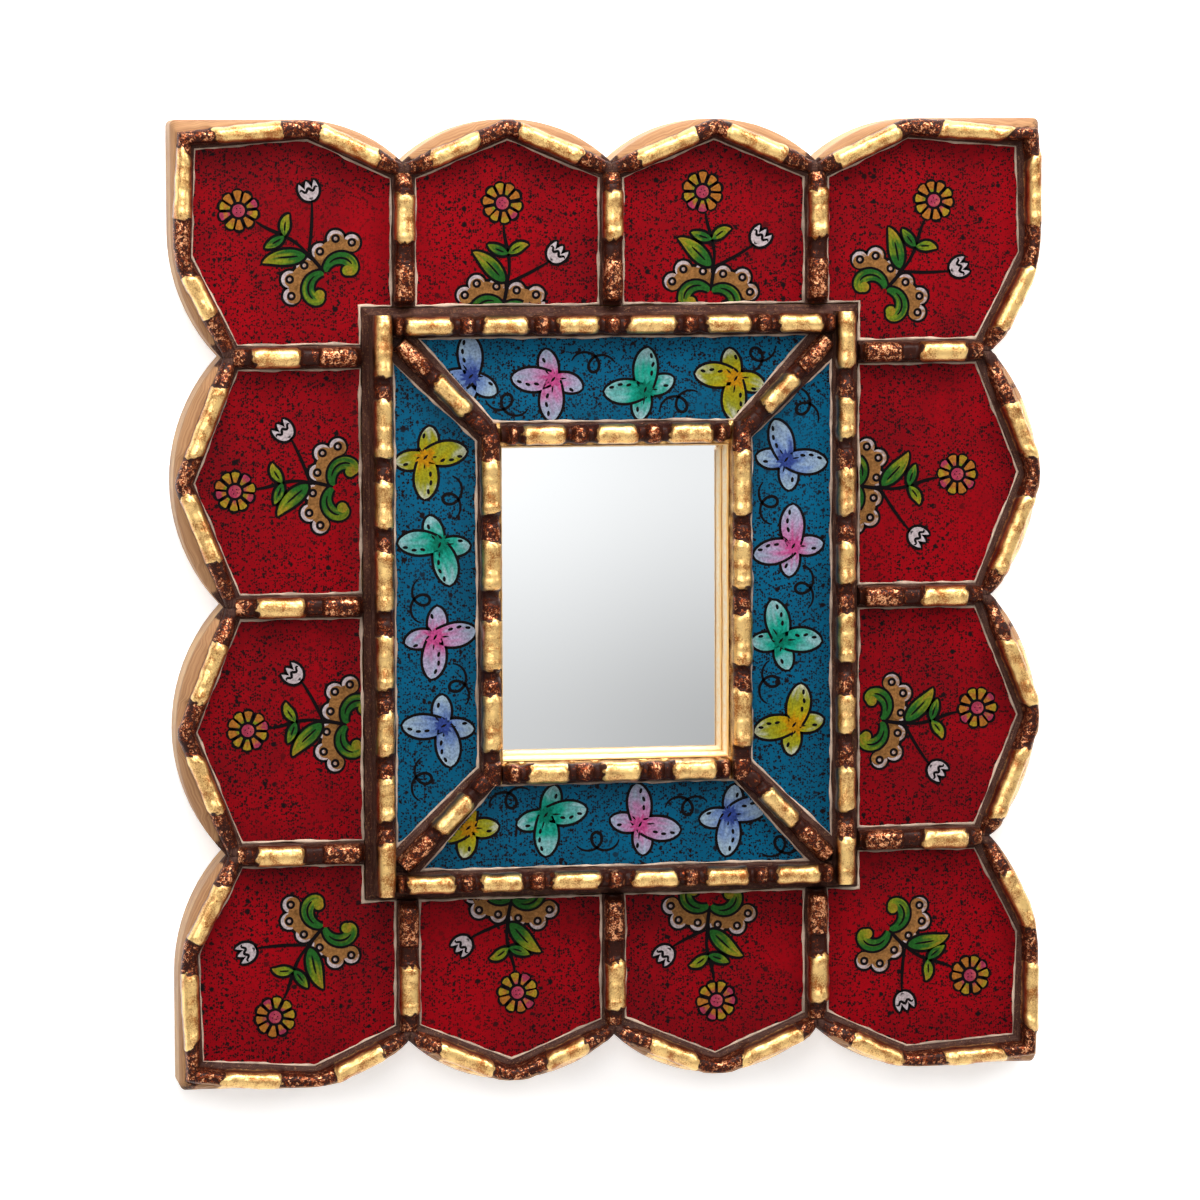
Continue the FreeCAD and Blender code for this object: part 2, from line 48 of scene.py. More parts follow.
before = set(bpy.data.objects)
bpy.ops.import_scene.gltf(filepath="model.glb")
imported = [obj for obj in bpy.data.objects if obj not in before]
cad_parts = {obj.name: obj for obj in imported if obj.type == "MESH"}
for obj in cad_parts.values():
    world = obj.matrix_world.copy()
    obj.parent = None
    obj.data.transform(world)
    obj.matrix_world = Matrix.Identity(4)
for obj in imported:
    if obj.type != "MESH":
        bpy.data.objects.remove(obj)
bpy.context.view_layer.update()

MM = 0.001
SIDES = ("top", "bottom", "left", "right")
PETALS = (
    *("corner_top_left", "top_left", "top_right", "corner_top_right"),
    *("left_upper", "left_lower", "right_upper", "right_lower"),
    *("corner_bottom_left", "bottom_left", "bottom_right", "corner_bottom_right"),
)


# Settings


def shade(red, green, blue):
    """A screen colour, each channel from 0 to 255, as the linear colour that a shader takes."""
    channels = np.array([red, green, blue]) / 255
    low = channels / 12.92
    high = ((channels + 0.055) / 1.055) ** 2.4
    return tuple(float(c) for c in np.where(channels < 0.04045, low, high))


def colour(name, description, *screen):
    """A colour property; its default is a screen colour."""
    return FloatVectorProperty(
        name=name, description=description, default=shade(*screen), subtype="COLOR", min=0, max=1
    )


def length(name, description, default):
    """A length property; its default is in millimetres."""
    return FloatProperty(name=name, description=description, default=default * MM, unit="LENGTH", min=0)


def share(name, description, default):
    """A property from 0 to 1."""
    return FloatProperty(name=name, description=description, default=default, subtype="FACTOR", min=0, max=1)


def power(name, description, default):
    """A lamp's power in watts."""
    return FloatProperty(name=name, description=description, default=default, unit="POWER", min=0)


def place(name, description, default):
    """A point in space."""
    return FloatVectorProperty(name=name, description=description, default=default, unit="LENGTH")


class PaintedGlassSettings(bpy.types.PropertyGroup):
    """Colours of the panes and of the putty round them."""

    red: colour("Red", "Paint of the petals' panes", 141, 1, 13)
    red_shade: colour("Red shade", "The same paint where it is thin and dull", 108, 4, 13)
    blue: colour("Blue", "Paint of the panes round the mirror", 0, 85, 118)
    blue_shade: colour("Blue shade", "The same paint where it is thin and dull", 2, 71, 99)
    speck: colour("Specks", "Dark spatter in the paint", 18, 9, 11)
    speck_size: length("Speck size", "Mesh of the fine spatter", 0.6)
    red_cover: share("Red specks", "Share of the fine spatter kept", 0.68)
    blue_cover: share("Blue specks", "Share of the fine spatter kept", 0.72)
    putty: colour("Putty", "Cream line between glass and moulding", 214, 186, 162)
    putty_width: length("Putty width", "Mean width of the cream line", 0.6)


class MotifSettings(bpy.types.PropertyGroup):
    """Sizes of the painted flowers and butterflies."""

    line_width: length("Outline", "Width of the black outlines", 1.0)
    layer: length("Paint layer", "Thickness of one layer of paint", 0.012)
    flower_radius: length("Flower radius", "Outer radius of a daisy", 5.8)
    petal_count: IntProperty(name="Petals", description="Petals of a daisy", default=10, min=3)
    wing_length: length("Wing length", "Length of a butterfly's long wing", 11.0)
    glass_tint: share("Glass tint", "Share of light that comes back through the glass", 0.6)
    seed: IntProperty(name="Seed", description="Chooses the small differences between motifs", default=7)


class CarvingSettings(bpy.types.PropertyGroup):
    """Shape of the carved mouldings."""

    bead_half_width: length("Bead half width", "Half the width of a gilded bead", 2.4)
    bead_swell: length("Bead swell", "How far a bead stands out at its ends", 0.28)
    nick_depth: length("Nick depth", "Depth of the nicks between beads", 1.9)
    tool_wobble: length("Tool wobble", "Unevenness left by the knife", 0.13)
    rim_offset: length("Rim bead offset", "From the glass edge to a rim's bead line", 2.85)
    rim_shift: length("Rim shift", "How far a bead moves out where the edge faces away", 0.9)
    end_bow: length("End bow", "How far the ends of a bead draw back at its sides", 0.4)
    end_slant: length("End slant", "How far the ends of a bead run askew", 0.7)
    lining_slope: length("Lining slope", "How far the sight lining leans over the glass", 2.2)
    lining_ridge: length("Lining ridges", "How far the ridges of the lining stand out", 0.4)
    step: length("Step", "Distance between the sections of a moulding", 0.42)


class GildingSettings(bpy.types.PropertyGroup):
    """Colours of the gilding, the patina and the plain materials."""

    gold: colour("Gold", "Leaf on the beads", 255, 211, 132)
    # Gold shade: leaf rubbed thin on the mouldings, and the painted shade in the grooves of the sight lining
    gold_rubbed_and_groove_shade: colour("Gold shade", "Leaf where it is rubbed thin", 172, 100, 34)
    # Gold edge: painted shade on the sides of the beads, where they turn from the front, and the brown of the
    # pits in the leaf
    gold_edge_shade_and_pits: colour("Gold edge", "Brown on the sides of the beads", 96, 50, 22)
    # Copper and Copper shade: bright and dull flakes of the crumpled leaf, a painted glint or painted shade on
    # each facet
    copper: colour("Copper", "Glints in the dark lengths", 236, 170, 122)
    foil_painted_shade: colour("Copper shade", "Dull copper between the glints", 128, 56, 27)
    lacquer: colour("Lacquer", "Ground of the dark lengths", 48, 18, 9)
    patina: colour("Patina", "Flanks beside the panes", 50, 26, 21)
    patina_dust: colour("Dust", "Pale dust in the patina", 80, 52, 43)
    wash: colour("Wash", "Gold wash on the outer edge", 188, 142, 100)
    wash_shade: colour("Wash shade", "The wash where it runs thin", 162, 116, 80)
    wood: colour("Wood", "Bare back of the board", 196, 152, 104)
    wood_shade: colour("Wood shade", "Dark grain of the board", 148, 100, 60)


class StudioSettings(bpy.types.PropertyGroup):
    """Camera and light."""

    camera_place: place("Camera", "Where the camera stands", (-0.2433, -1.3565, 0.1176))
    camera_target: place("Target", "What the camera points at", (-0.00092, 0.0, -0.00088))
    camera_roll: FloatProperty(
        name="Roll", description="Turn about the line of sight", default=math.radians(-0.19), unit="ROTATION"
    )
    lens: FloatProperty(name="Lens", description="Focal length in millimetres", default=157.9, min=1)
    key_power: power("Key", "Soft light from the front and the upper left", 5.3)
    top_power: power("Top", "Broad light from above", 8.5)
    fill_power: power("Fill", "Soft light from both sides", 3.8)
    back_power: power("Back", "Light on the back of the mirror", 10.0)
    room_light: FloatProperty(name="Room", description="Brightness of the room in front", default=0.22, min=0)


def millimetres(value):
    """A length property in millimetres."""
    return value / MM


# Curves, noise and meshes


def smooth(low, high, x):
    """Smooth step: 0 below low, 1 above high, and 3 t^2 - 2 t^3 between."""
    t = np.clip((x - low) / (high - low), 0, 1)
    return t * t * (3 - 2 * t)


def wander(x, seed, wavelength):
    """A smooth random line from -1 to 1: the weighted mean of four sine waves with seeded phases."""
    phase = np.random.default_rng(seed).uniform(0, 2 * np.pi, 4)
    rate = np.array([1.0, 1.7, 2.9, 4.3])
    weight = np.array([1.0, 0.7, 0.45, 0.3])
    waves = np.sin(2 * np.pi * np.asarray(x)[..., None] * rate / wavelength + phase) * weight
    return waves.sum(-1) / weight.sum()


def ripple(x, y, seed, wavelength):
    """A smooth random surface near -1 to 1: 1.6 times the mean of five plane waves with seeded headings."""
    rng = np.random.default_rng(seed)
    heading = rng.uniform(0, 2 * np.pi, 5)
    rate = rng.uniform(0.7, 1.9, 5)
    phase = rng.uniform(0, 2 * np.pi, 5)
    along = np.asarray(x)[..., None] * np.cos(heading) + np.asarray(y)[..., None] * np.sin(heading)
    return np.sin(2 * np.pi * along * rate / wavelength + phase).mean(-1) * 1.6


def bezier(points, count):
    """Points along a Bezier curve: the sum of its control points, each times its Bernstein polynomial."""
    points = np.asarray(points, float)
    t = np.linspace(0, 1, count)[:, None]
    degree = len(points) - 1
    weights = [math.comb(degree, k) * t**k * (1 - t) ** (degree - k) for k in range(degree + 1)]
    return sum(weight * point for weight, point in zip(weights, points))


def turned(points, angle):
    """Plan points turned anticlockwise about the origin by an angle in degrees."""
    c, s = math.cos(math.radians(angle)), math.sin(math.radians(angle))
    return np.asarray(points, float) @ np.array([[c, s], [-s, c]])


def unit(vectors):
    """Each vector divided by its length."""
    return vectors / np.linalg.norm(vectors, axis=-1, keepdims=True)


def left_of(directions):
    """Plan directions turned a quarter turn anticlockwise."""
    return np.stack([-directions[..., 1], directions[..., 0]], axis=-1)


def bends_of(before, after):
    """Ways out of corners that keep a unit distance from both sides, whose normals are given."""
    return (after + before) / (1 + (after * before).sum(1, keepdims=True))


def placed(plan, height):
    """Plan points at a height, as points in space in metres."""
    plan = np.asarray(plan, float)
    height = np.broadcast_to(height, plan.shape[:-1])
    return np.stack([plan[..., 0], -height, plan[..., 1]], axis=-1) * MM


def grid_quads(rows, columns, wrap_rows=False, wrap_columns=False):
    """Quads of a grid of points numbered row by row; a wrapped direction joins its last line to its first."""
    row = np.arange(rows if wrap_rows else rows - 1)[:, None]
    column = np.arange(columns if wrap_columns else columns - 1)[None, :]
    below, beside = (row + 1) % rows, (column + 1) % columns
    corners = [(row, column), (below, column), (below, beside), (row, beside)]
    return np.stack([r * columns + c for r, c in corners], axis=-1).reshape(-1, 4)


def end_quads(first, count, far_end):
    """Quads that close an end of a tube whose section runs up one side and down the other: j meets -1-j."""
    j = np.arange(count // 2 - 1)
    quads = first + np.stack([j, j + 1, count - 2 - j, count - 1 - j], axis=-1)
    return quads[:, ::-1] if far_end else quads


class Surface:
    """Grids collected into one mesh, with a finish colour and a run vector at each point."""

    def __init__(self):
        self.points, self.quads, self.finish, self.run, self.size = [], [], [], [], 0

    def add(self, points, quads, finish, run=None):
        """Takes a block of points, in metres, with its quads, its finish colours and its run vectors."""
        points = np.asarray(points).reshape(-1, 3)
        run = np.zeros((len(points), 3)) if run is None else run
        self.points.append(points)
        self.quads.append(quads + self.size)
        self.finish.append(np.asarray(finish, float).reshape(-1, 4))
        self.run.append(np.asarray(run, float).reshape(-1, 3))
        self.size += len(points)

    def make(self, name, material, sharp=None):
        """The mesh object: it sits at the origin, moves with the frame and has the material.

        With a sharp angle it is smooth apart from edges that are sharper, and else it is flat.
        """
        points, quads = np.concatenate(self.points), np.concatenate(self.quads)
        mesh = bpy.data.meshes.new(name)
        mesh.vertices.add(len(points))
        mesh.vertices.foreach_set("co", points.astype(np.float32).ravel())
        mesh.loops.add(quads.size)
        mesh.loops.foreach_set("vertex_index", quads.astype(np.int32).ravel())
        mesh.polygons.add(len(quads))
        mesh.polygons.foreach_set("loop_start", np.arange(0, quads.size, 4, dtype=np.int32))
        mesh.update(calc_edges=True)
        finish_data = mesh.attributes.new("finish", "FLOAT_COLOR", "POINT").data
        finish_data.foreach_set("color", np.concatenate(self.finish).astype(np.float32).ravel())
        run_data = mesh.attributes.new("run", "FLOAT_VECTOR", "POINT").data
        run_data.foreach_set("vector", np.concatenate(self.run).astype(np.float32).ravel())
        mesh.polygons.foreach_set("use_smooth", np.full(len(quads), sharp is not None))
        if sharp is not None:
            mesh.set_sharp_from_angle(angle=math.radians(sharp))
        mesh.materials.append(material)
        piece = bpy.data.objects.new(name, mesh)
        bpy.context.scene.collection.objects.link(piece)
        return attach(piece, "frame")


# Places on the solids


def node_box(name):
    """Lowest and highest corner of a solid, in millimetres."""
    low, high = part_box(name)
    return np.array(low) / MM, np.array(high) / MM


def front_corners(name):
    """Plan points of a solid's front face, in order round its middle."""
    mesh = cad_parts[name].data
    points = np.empty(len(mesh.vertices) * 3)
    mesh.vertices.foreach_get("co", points)
    points = points.reshape(-1, 3) / MM
    front = points[points[:, 1] < points[:, 1].min() + 0.01]
    plan = np.unique(np.round(front[:, [0, 2]], 3), axis=0)
    offset = plan - (plan.min(0) + plan.max(0)) / 2
    return plan[np.argsort(np.arctan2(offset[:, 1], offset[:, 0]))]


def front_height(name):
    """Height of a solid's front face."""
    return -node_box(name)[0][1]


def above_or_below(name):
    """Whether a solid lies above or below the mirror, and not beside it."""
    return "top" in name or "bottom" in name


def board_outline():
    """The scalloped edge of the board: the corners of its front face away from the mirror's opening."""
    corners = front_corners("frame_board")
    half = np.abs(corners).max(0)
    return corners[(np.abs(corners) > 0.7 * half).any(1)]


def crossed(a, b):
    """Cross product of plan vectors."""
    return a[..., 0] * b[..., 1] - a[..., 1] * b[..., 0]


def reach(starts, directions, outline):
    """Where rays in plan first meet a closed outline: every ray and side is solved for both distances."""
    side = (np.roll(outline, -1, axis=0) - outline)[None]
    gap = outline[None] - starts[:, None]
    cross = crossed(directions[:, None], side)
    cross = np.where(np.abs(cross) < 1e-12, 1e-12, cross)
    ray = crossed(gap, side) / cross
    part = crossed(gap, directions[:, None]) / cross
    ray = np.where((ray > 0) & (part >= 0) & (part <= 1), ray, np.inf)
    return starts + directions * ray.min(1, keepdims=True)


def inside(points, polygon):
    """Which plan points lie in a polygon: a ray to the right crosses its sides an odd number of times."""
    x, z = points[:, 0, None], points[:, 1, None]
    ends = np.roll(polygon, -1, axis=0)
    rises = (polygon[None, :, 1] > z) != (ends[None, :, 1] > z)
    rise = ends[:, 1] - polygon[:, 1]
    rise = np.where(np.abs(rise) < 1e-9, 1e-9, rise)
    meets = polygon[None, :, 0] + (z - polygon[None, :, 1]) * ((ends[:, 0] - polygon[:, 0]) / rise)[None]
    return (rises & (x < meets)).sum(1) % 2 == 1


def round_path(corners, step=0.5):
    """Stations round a closed plan: places, ways inward that keep to both sides at a corner, distances along.

    The corners come in order anticlockwise, so that inward is left of the path.
    """
    sides = np.roll(corners, -1, axis=0) - corners
    normals = left_of(unit(sides))
    bends = bends_of(np.roll(normals, 1, axis=0), normals)
    path, inward = [], []
    for i, side in enumerate(sides):
        t = np.linspace(0, 1, int(np.linalg.norm(side) / step) + 2)[:-1, None]
        path.append(corners[i] + t * side)
        inward.append(bends[i] + t * (bends[(i + 1) % len(corners)] - bends[i]))
    path = np.concatenate(path)
    return path, np.concatenate(inward), np.arange(len(path)) * step


# Nodes


def arithmetic(operation, swapped=False):
    """A method that adds a Math node for a value and another, or for the two the other way round."""

    def method(self, other=0.0):
        first, second = (other, self) if swapped else (self, other)
        return self.nodes.add("Math", {0: first, 1: second}, operation=operation)[0]

    return method


class Value:
    """An output in a node tree; sums and products of values become Math nodes."""

    def __init__(self, nodes, socket):
        self.nodes, self.socket = nodes, socket

    __add__ = arithmetic("ADD")
    __sub__ = arithmetic("SUBTRACT")
    __rsub__ = arithmetic("SUBTRACT", swapped=True)
    __mul__ = arithmetic("MULTIPLY")
    __truediv__ = arithmetic("DIVIDE")
    __rtruediv__ = arithmetic("DIVIDE", swapped=True)
    __abs__ = arithmetic("ABSOLUTE")
    smaller = arithmetic("MINIMUM")
    larger = arithmetic("MAXIMUM")


class Outputs:
    """A node's outputs, as values by name or number."""

    def __init__(self, nodes, made):
        self.nodes, self.made = nodes, made

    def __getitem__(self, key):
        return Value(self.nodes, self.made.outputs[key])


class Nodes:
    """A node tree, with short ways to add nodes; an input is a constant or the value that feeds it."""

    def __init__(self, tree):
        self.tree = tree

    def put(self, value, socket):
        """Links or sets a socket."""
        if isinstance(value, Value):
            self.tree.links.new(value.socket, socket)
        else:
            socket.default_value = value

    def add(self, kind, inputs=None, **settings):
        """A shader node with its settings and inputs."""
        made = self.tree.nodes.new("ShaderNode" + kind)
        for key, setting in settings.items():
            setattr(made, key, setting)
        for key, value in (inputs or {}).items():
            self.put(value, made.inputs[key])
        return Outputs(self, made)

    def use(self, group, **inputs):
        """An effect's node group with its inputs."""
        return self.add("Group", {key.title(): value for key, value in inputs.items()}, node_tree=group())

    def vectors(self, operation, vector, **inputs):
        """An operation on vectors; its second input is other or scale."""
        inputs = {1 if key == "other" else "Scale": value for key, value in inputs.items()}
        return self.add("VectorMath", {0: vector, **inputs}, operation=operation)[0]

    def ramp(self, value, low, high, to_low=0.0, to_high=1.0):
        """A value eased from one range to another."""
        inputs = {"Value": value, "From Min": low, "From Max": high, "To Min": to_low, "To Max": to_high}
        return self.add("MapRange", inputs, interpolation_type="SMOOTHSTEP")[0]

    def blend(self, amount, first, second):
        """One colour over another by an amount."""
        first, second = (c if isinstance(c, Value) else (*c, 1.0) for c in (first, second))
        return self.add("Mix", {0: amount, 6: first, 7: second}, data_type="RGBA")[2]

    def noise(self, vector, scale, detail=3.0, roughness=0.55):
        """Smooth noise from 0 to 1."""
        inputs = {"Vector": vector, "Scale": scale, "Detail": detail, "Roughness": roughness}
        return self.add("TexNoise", inputs)["Fac"]

    def facing(self):
        """How far a surface faces the wall: -1 in front, 0 at the sides, 1 behind."""
        return self.add("SeparateXYZ", {0: self.add("NewGeometry")["Normal"]})[1]

    def first_channel(self, tone):
        """The red channel of a colour."""
        return self.add("SeparateColor", {0: tone})[0]


def effect(name, outputs, **inputs):
    """Makes a function that builds an effect's values into one that gives its node group, made once.

    Inputs are named with their defaults: a number, or a vector or nothing for a vector.
    """

    def decorate(build):
        def give():
            if name in bpy.data.node_groups:
                return bpy.data.node_groups[name]
            tree = bpy.data.node_groups.new(name, "ShaderNodeTree")
            for key, value in inputs.items():
                kind = "NodeSocketFloat" if isinstance(value, float) else "NodeSocketVector"
                socket = tree.interface.new_socket(key.title(), in_out="INPUT", socket_type=kind)
                if value is not None:
                    socket.default_value = value
            for key in outputs:
                tree.interface.new_socket(key, in_out="OUTPUT", socket_type="NodeSocketFloat")
            nodes = Nodes(tree)
            start, end = tree.nodes.new("NodeGroupInput"), tree.nodes.new("NodeGroupOutput")
            for key, value in zip(outputs, build(nodes, Outputs(nodes, start))):
                nodes.put(value, end.inputs[key])
            return tree

        return give

    return decorate


@effect("spatter", ["Mask"], vector=None, size=0.001, cover=0.5)
def spatter(nodes, given):
    """Irregular specks: cells whose random size beats the distance to their middle, bent by fine noise."""
    split = nodes.add("SeparateXYZ", {0: given["Vector"]})
    flat = nodes.add("CombineXYZ", {0: split[0], 1: split[2], 2: 0.0})[0]
    scale = 1.0 / given["Size"]
    bend = nodes.add("TexNoise", {"Vector": flat, "Scale": scale * 1.6, "Detail": 3.0})["Color"]
    shift = nodes.vectors("SUBTRACT", bend, other=(0.5, 0.5, 0.5))
    push = nodes.vectors("SCALE", shift, scale=given["Size"] * 1.5)
    bent = nodes.vectors("ADD", flat, other=push)
    masks = []
    for coarse, kept, grow in ((1.0, 1.0, 0.85), (2.2, 0.5, 1.0), (4.0, 0.2, 2.2)):
        cells = nodes.add("TexVoronoi", {"Vector": bent, "Scale": scale / coarse}, voronoi_dimensions="2D")
        excess = given["Cover"] * kept - nodes.first_channel(cells["Color"])
        radius = (excess * grow).smaller(0.46)
        masks.append(nodes.ramp(radius - cells["Distance"], -0.08, 0.06))
    fine, middle, large = masks
    return [fine.larger(middle.larger(large))]


@effect("uneven paint", ["Mask"], vector=None, size=0.02)
def uneven(nodes, given):
    """Uneven paint: broad clouds and finer blotches of noise, weighed together."""
    broad = nodes.noise(given["Vector"], 1.0 / given["Size"], 2.0)
    fine = nodes.noise(given["Vector"], 7.0 / given["Size"], 4.0, 0.6)
    return [nodes.ramp(broad * 0.65 + fine * 0.35, 0.32, 0.68)]


@effect("streaks", ["Mask", "Height"], run=None, squeeze=(1.0, 1.0, 1.0))
def streaks(nodes, given):
    """Long streaks along a surface: noise on run vectors that are squeezed along the run."""
    value = nodes.noise(nodes.vectors("MULTIPLY", given["Run"], other=given["Squeeze"]), 1.0, 4.0, 0.6)
    return [nodes.ramp(value, 0.34, 0.66), value]


@effect("crumpled leaf", ["Height"], vector=None, size=0.001)
def crumpled(nodes, given):
    """Crumpled leaf: each cell of a bent mesh has a chance height, over slow swells of noise."""
    scale = 1.0 / given["Size"]
    bend = nodes.add("TexNoise", {"Vector": given["Vector"], "Scale": scale, "Detail": 2.0})["Color"]
    shift = nodes.vectors("SCALE", bend, scale=given["Size"])
    bent = nodes.vectors("ADD", given["Vector"], other=shift)
    cells = nodes.add("TexVoronoi", {"Vector": bent, "Scale": scale})
    swell = nodes.noise(given["Vector"], scale * 0.17, 3.0, 0.6)
    return [nodes.first_channel(cells["Color"]) * 0.5 + swell * 0.5]


# Finishes


class Finish(Nodes):
    """A new material: its nodes, with its Object coordinates as its place."""

    def __init__(self, name):
        self.material = bpy.data.materials.new(name)
        self.material.use_nodes = True
        super().__init__(self.material.node_tree)
        self.place = self.add("TexCoord")["Object"]

    def attribute(self, name):
        """A named attribute of the mesh."""
        return self.add("Attribute", attribute_name=name)

    def clouds(self, size):
        """Uneven blotches of a size in metres."""
        return self.use(uneven, vector=self.place, size=size)["Mask"]

    def grain(self, *squeeze):
        """Streaks on the Object coordinates."""
        return self.use(streaks, run=self.place, squeeze=squeeze)

    def bump(self, height, strength, distance):
        """A normal bent by a height; the distance is in millimetres."""
        return self.add("Bump", {"Height": height, "Strength": strength, "Distance": distance * MM})[0]

    def feed(self, **inputs):
        """Links or sets the shader's inputs, an underscore standing for a space, and gives the material."""
        shader = self.tree.nodes["Principled BSDF"]
        for key, value in inputs.items():
            self.put(value, shader.inputs[key.replace("_", " ").title().replace("Ior", "IOR")])
        return self.material


def finish(name, build, *arguments):
    """A material by name: the first time it is asked for, build feeds a new one."""
    return bpy.data.materials.get(name) or build(Finish(name), *arguments)


def dress(name, material):
    """Gives a solid its finish."""
    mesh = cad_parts[name].data
    mesh.materials.clear()
    mesh.materials.append(material)


BEHIND_GLASS = {"roughness": 0.5, "coat_weight": 0.08, "coat_roughness": 0.04, "specular_ior_level": 0.04}


def pane_finish(paint, bright, dull, cover, settings):
    """Paint seen through glass: uneven colour with dark specks, under a smooth coat."""
    specks = paint.use(spatter, vector=paint.place, size=settings.speck_size, cover=cover)["Mask"]
    density = paint.ramp(paint.noise(paint.place, 55.0, 2.0), 0.25, 0.5, 0.45, 1.0)
    tone = paint.blend(paint.clouds(0.03), dull, bright)
    return paint.feed(base_color=paint.blend(specks * density, tone, settings.speck), **BEHIND_GLASS)


def motif_finish(paint, tint):
    """Brushed paint behind glass: the painted colour of each stroke, a little uneven, under a smooth coat."""
    tone = paint.blend(tint, (0.0, 0.0, 0.0), paint.attribute("finish")["Color"])
    strokes = paint.ramp(paint.noise(paint.place, 1500.0, 4.0, 0.65), 0.33, 0.67)
    darker, lighter = (paint.add("HueSaturation", {"Value": v, "Color": tone})[0] for v in (0.72, 1.3))
    return paint.feed(base_color=paint.blend(strokes, darker, lighter), **BEHIND_GLASS)


def putty_finish(putty, settings, gilding):
    """Cream putty, dirty in places."""
    tone = putty.blend(putty.clouds(0.014) * 0.7, settings.putty, gilding.patina)
    bump = putty.bump(putty.noise(putty.place, 2500.0), 0.4, 0.15)
    return putty.feed(base_color=tone, roughness=0.62, normal=bump)


def moulding_finish(wood, gilding):
    """Carved wood under patina, dark lacquer with painted copper glints, gold wash and gold leaf with painted
    shade on its sides.

    The finish attribute tells where each lies: red for leaf, green for glints, blue for wash and alpha for
    lacquer.
    """
    laid = wood.attribute("finish")
    masks = wood.add("SeparateColor", {0: laid["Color"]})
    run = wood.attribute("run")["Vector"]
    fine = wood.noise(wood.place, 2600.0, 3.0, 0.6)
    middle = wood.noise(wood.place, 900.0, 3.0, 0.6)
    broad = wood.noise(wood.place, 260.0, 2.0)
    ragged = middle + fine * 0.5 - 0.75

    dust = wood.use(streaks, run=run, squeeze=(0.22, 2.6, 1.0))["Mask"]
    tone = wood.blend(dust, gilding.patina, gilding.patina_dust)
    tone = wood.blend(wood.ramp(broad, 0.5, 0.75), tone, gilding.lacquer)
    grit = wood.ramp(fine, 0.54, 0.68) * wood.ramp(middle, 0.42, 0.6, 0.1, 0.6)
    tone = wood.blend(grit, tone, gilding.wash_shade)

    lacquered = wood.ramp(laid["Alpha"] + ragged * 0.6, 0.35, 0.6)
    tone = wood.blend(lacquered, tone, gilding.lacquer)
    # Painted glints and painted shade: each flake of crumpled copper leaf is bright or dull copper by chance,
    # as if it caught or missed the light
    small, large = (wood.use(crumpled, vector=wood.place, size=size * MM)["Height"] for size in (0.3, 0.85))
    foil = (small + large) * 0.5 - (1.0 - masks[1]) * 0.24
    leaf = wood.blend(wood.ramp(foil, 0.53, 0.64), gilding.foil_painted_shade, gilding.copper)
    glints = wood.ramp(foil, 0.42, 0.5) * lacquered
    tone = wood.blend(glints, tone, leaf)

    washed = wood.ramp(masks[2] + ragged * 0.5, 0.35, 0.6)
    lines = wood.use(streaks, run=run, squeeze=(0.05, 1.9, 1.0))
    tone = wood.blend(washed, tone, wood.blend(lines["Mask"], gilding.wash_shade, gilding.wash))

    gilded = wood.ramp(masks[0] + ragged * 0.9, 0.36, 0.62)
    worn = wood.ramp(broad * 0.6 + fine * 0.5, 0.46, 0.7)
    leaf = wood.blend(worn, gilding.gold, gilding.gold_rubbed_and_groove_shade)
    # Painted shade: gilding that turns away from the front goes brown, unless washed; the pits below are brown
    # specks of wear
    unshaded_front = wood.ramp(ragged * 0.25 - wood.facing(), 0.0, 0.45).larger(masks[2])
    leaf = wood.blend(unshaded_front, gilding.gold_edge_shade_and_pits, leaf)
    pits = wood.ramp(fine * 0.6 + middle * 0.4, 0.62, 0.68, 0.0, 0.75)
    tone = wood.blend(gilded, tone, wood.blend(pits, leaf, gilding.gold_edge_shade_and_pits))

    sheen = wood.ramp(middle, 0.3, 0.7, 0.28, 0.42)
    rough = wood.blend(gilded.larger(lacquered), (0.62, 0.62, 0.62), sheen)
    crackle = foil * (lacquered * 1.2).larger(gilded * 0.25)
    height = middle * 0.09 + fine * 0.1 + crackle + lines["Height"] * (washed * 0.5)
    return wood.feed(
        base_color=tone,
        metallic=gilded.larger(glints * 0.8),
        roughness=rough,
        normal=wood.bump(height, 0.55, 0.5),
        coat_weight=gilded * 0.8,
        coat_roughness=0.25,
        specular_ior_level=0.14,
    )


# Carved mouldings

# A section's points: a near flank of 6, a crown of 16 and a far flank of 6

NEAR_FLANK, CROWN, FAR_FLANK = slice(0, 6), slice(6, 22), slice(22, None)
NEAR_EDGE, FAR_EDGE, CROWN_MIDDLE = slice(0, 8), slice(16, None), 14
CROWN_ANGLE = np.linspace(np.pi, 0, 16)
CROWN_POWER = 0.86
CROWN_ACROSS = np.sign(np.cos(CROWN_ANGLE)) * np.abs(np.cos(CROWN_ANGLE)) ** CROWN_POWER
ACROSS = np.concatenate([np.full(6, -1.0), CROWN_ACROSS, np.ones(6)])
FALL = np.array([0.0, 0.22, 0.45, 0.7, 1.0])
FLANK_COVER = np.array([0, 0, 0, 0, 0.3, 0.8])
CROWN_COVER = np.concatenate([FLANK_COVER, np.ones(16), FLANK_COVER[::-1]])
GILDED_SIDE = np.array([0.45, 0.55, 0.75, 0.9, 1, 1, 1, 1])
SHOULDER = 0.7
LEAF_TEAR, TEAR_LENGTH = 0.55, 2.6
SHORT_MOUND = 7

# Seeds of the uneven work, and the step from one moulding to the next

SEEDS = {"rim": 101, "divider": 301, "panel_frame": 601, "mirror_frame": 701, "mitre": 801, "putty": 900}
RIM_FOOT_SEED, DIVIDER_BEAD_SEED, LINING_SEED = 500, 40, 71
SEED_STEP = 10


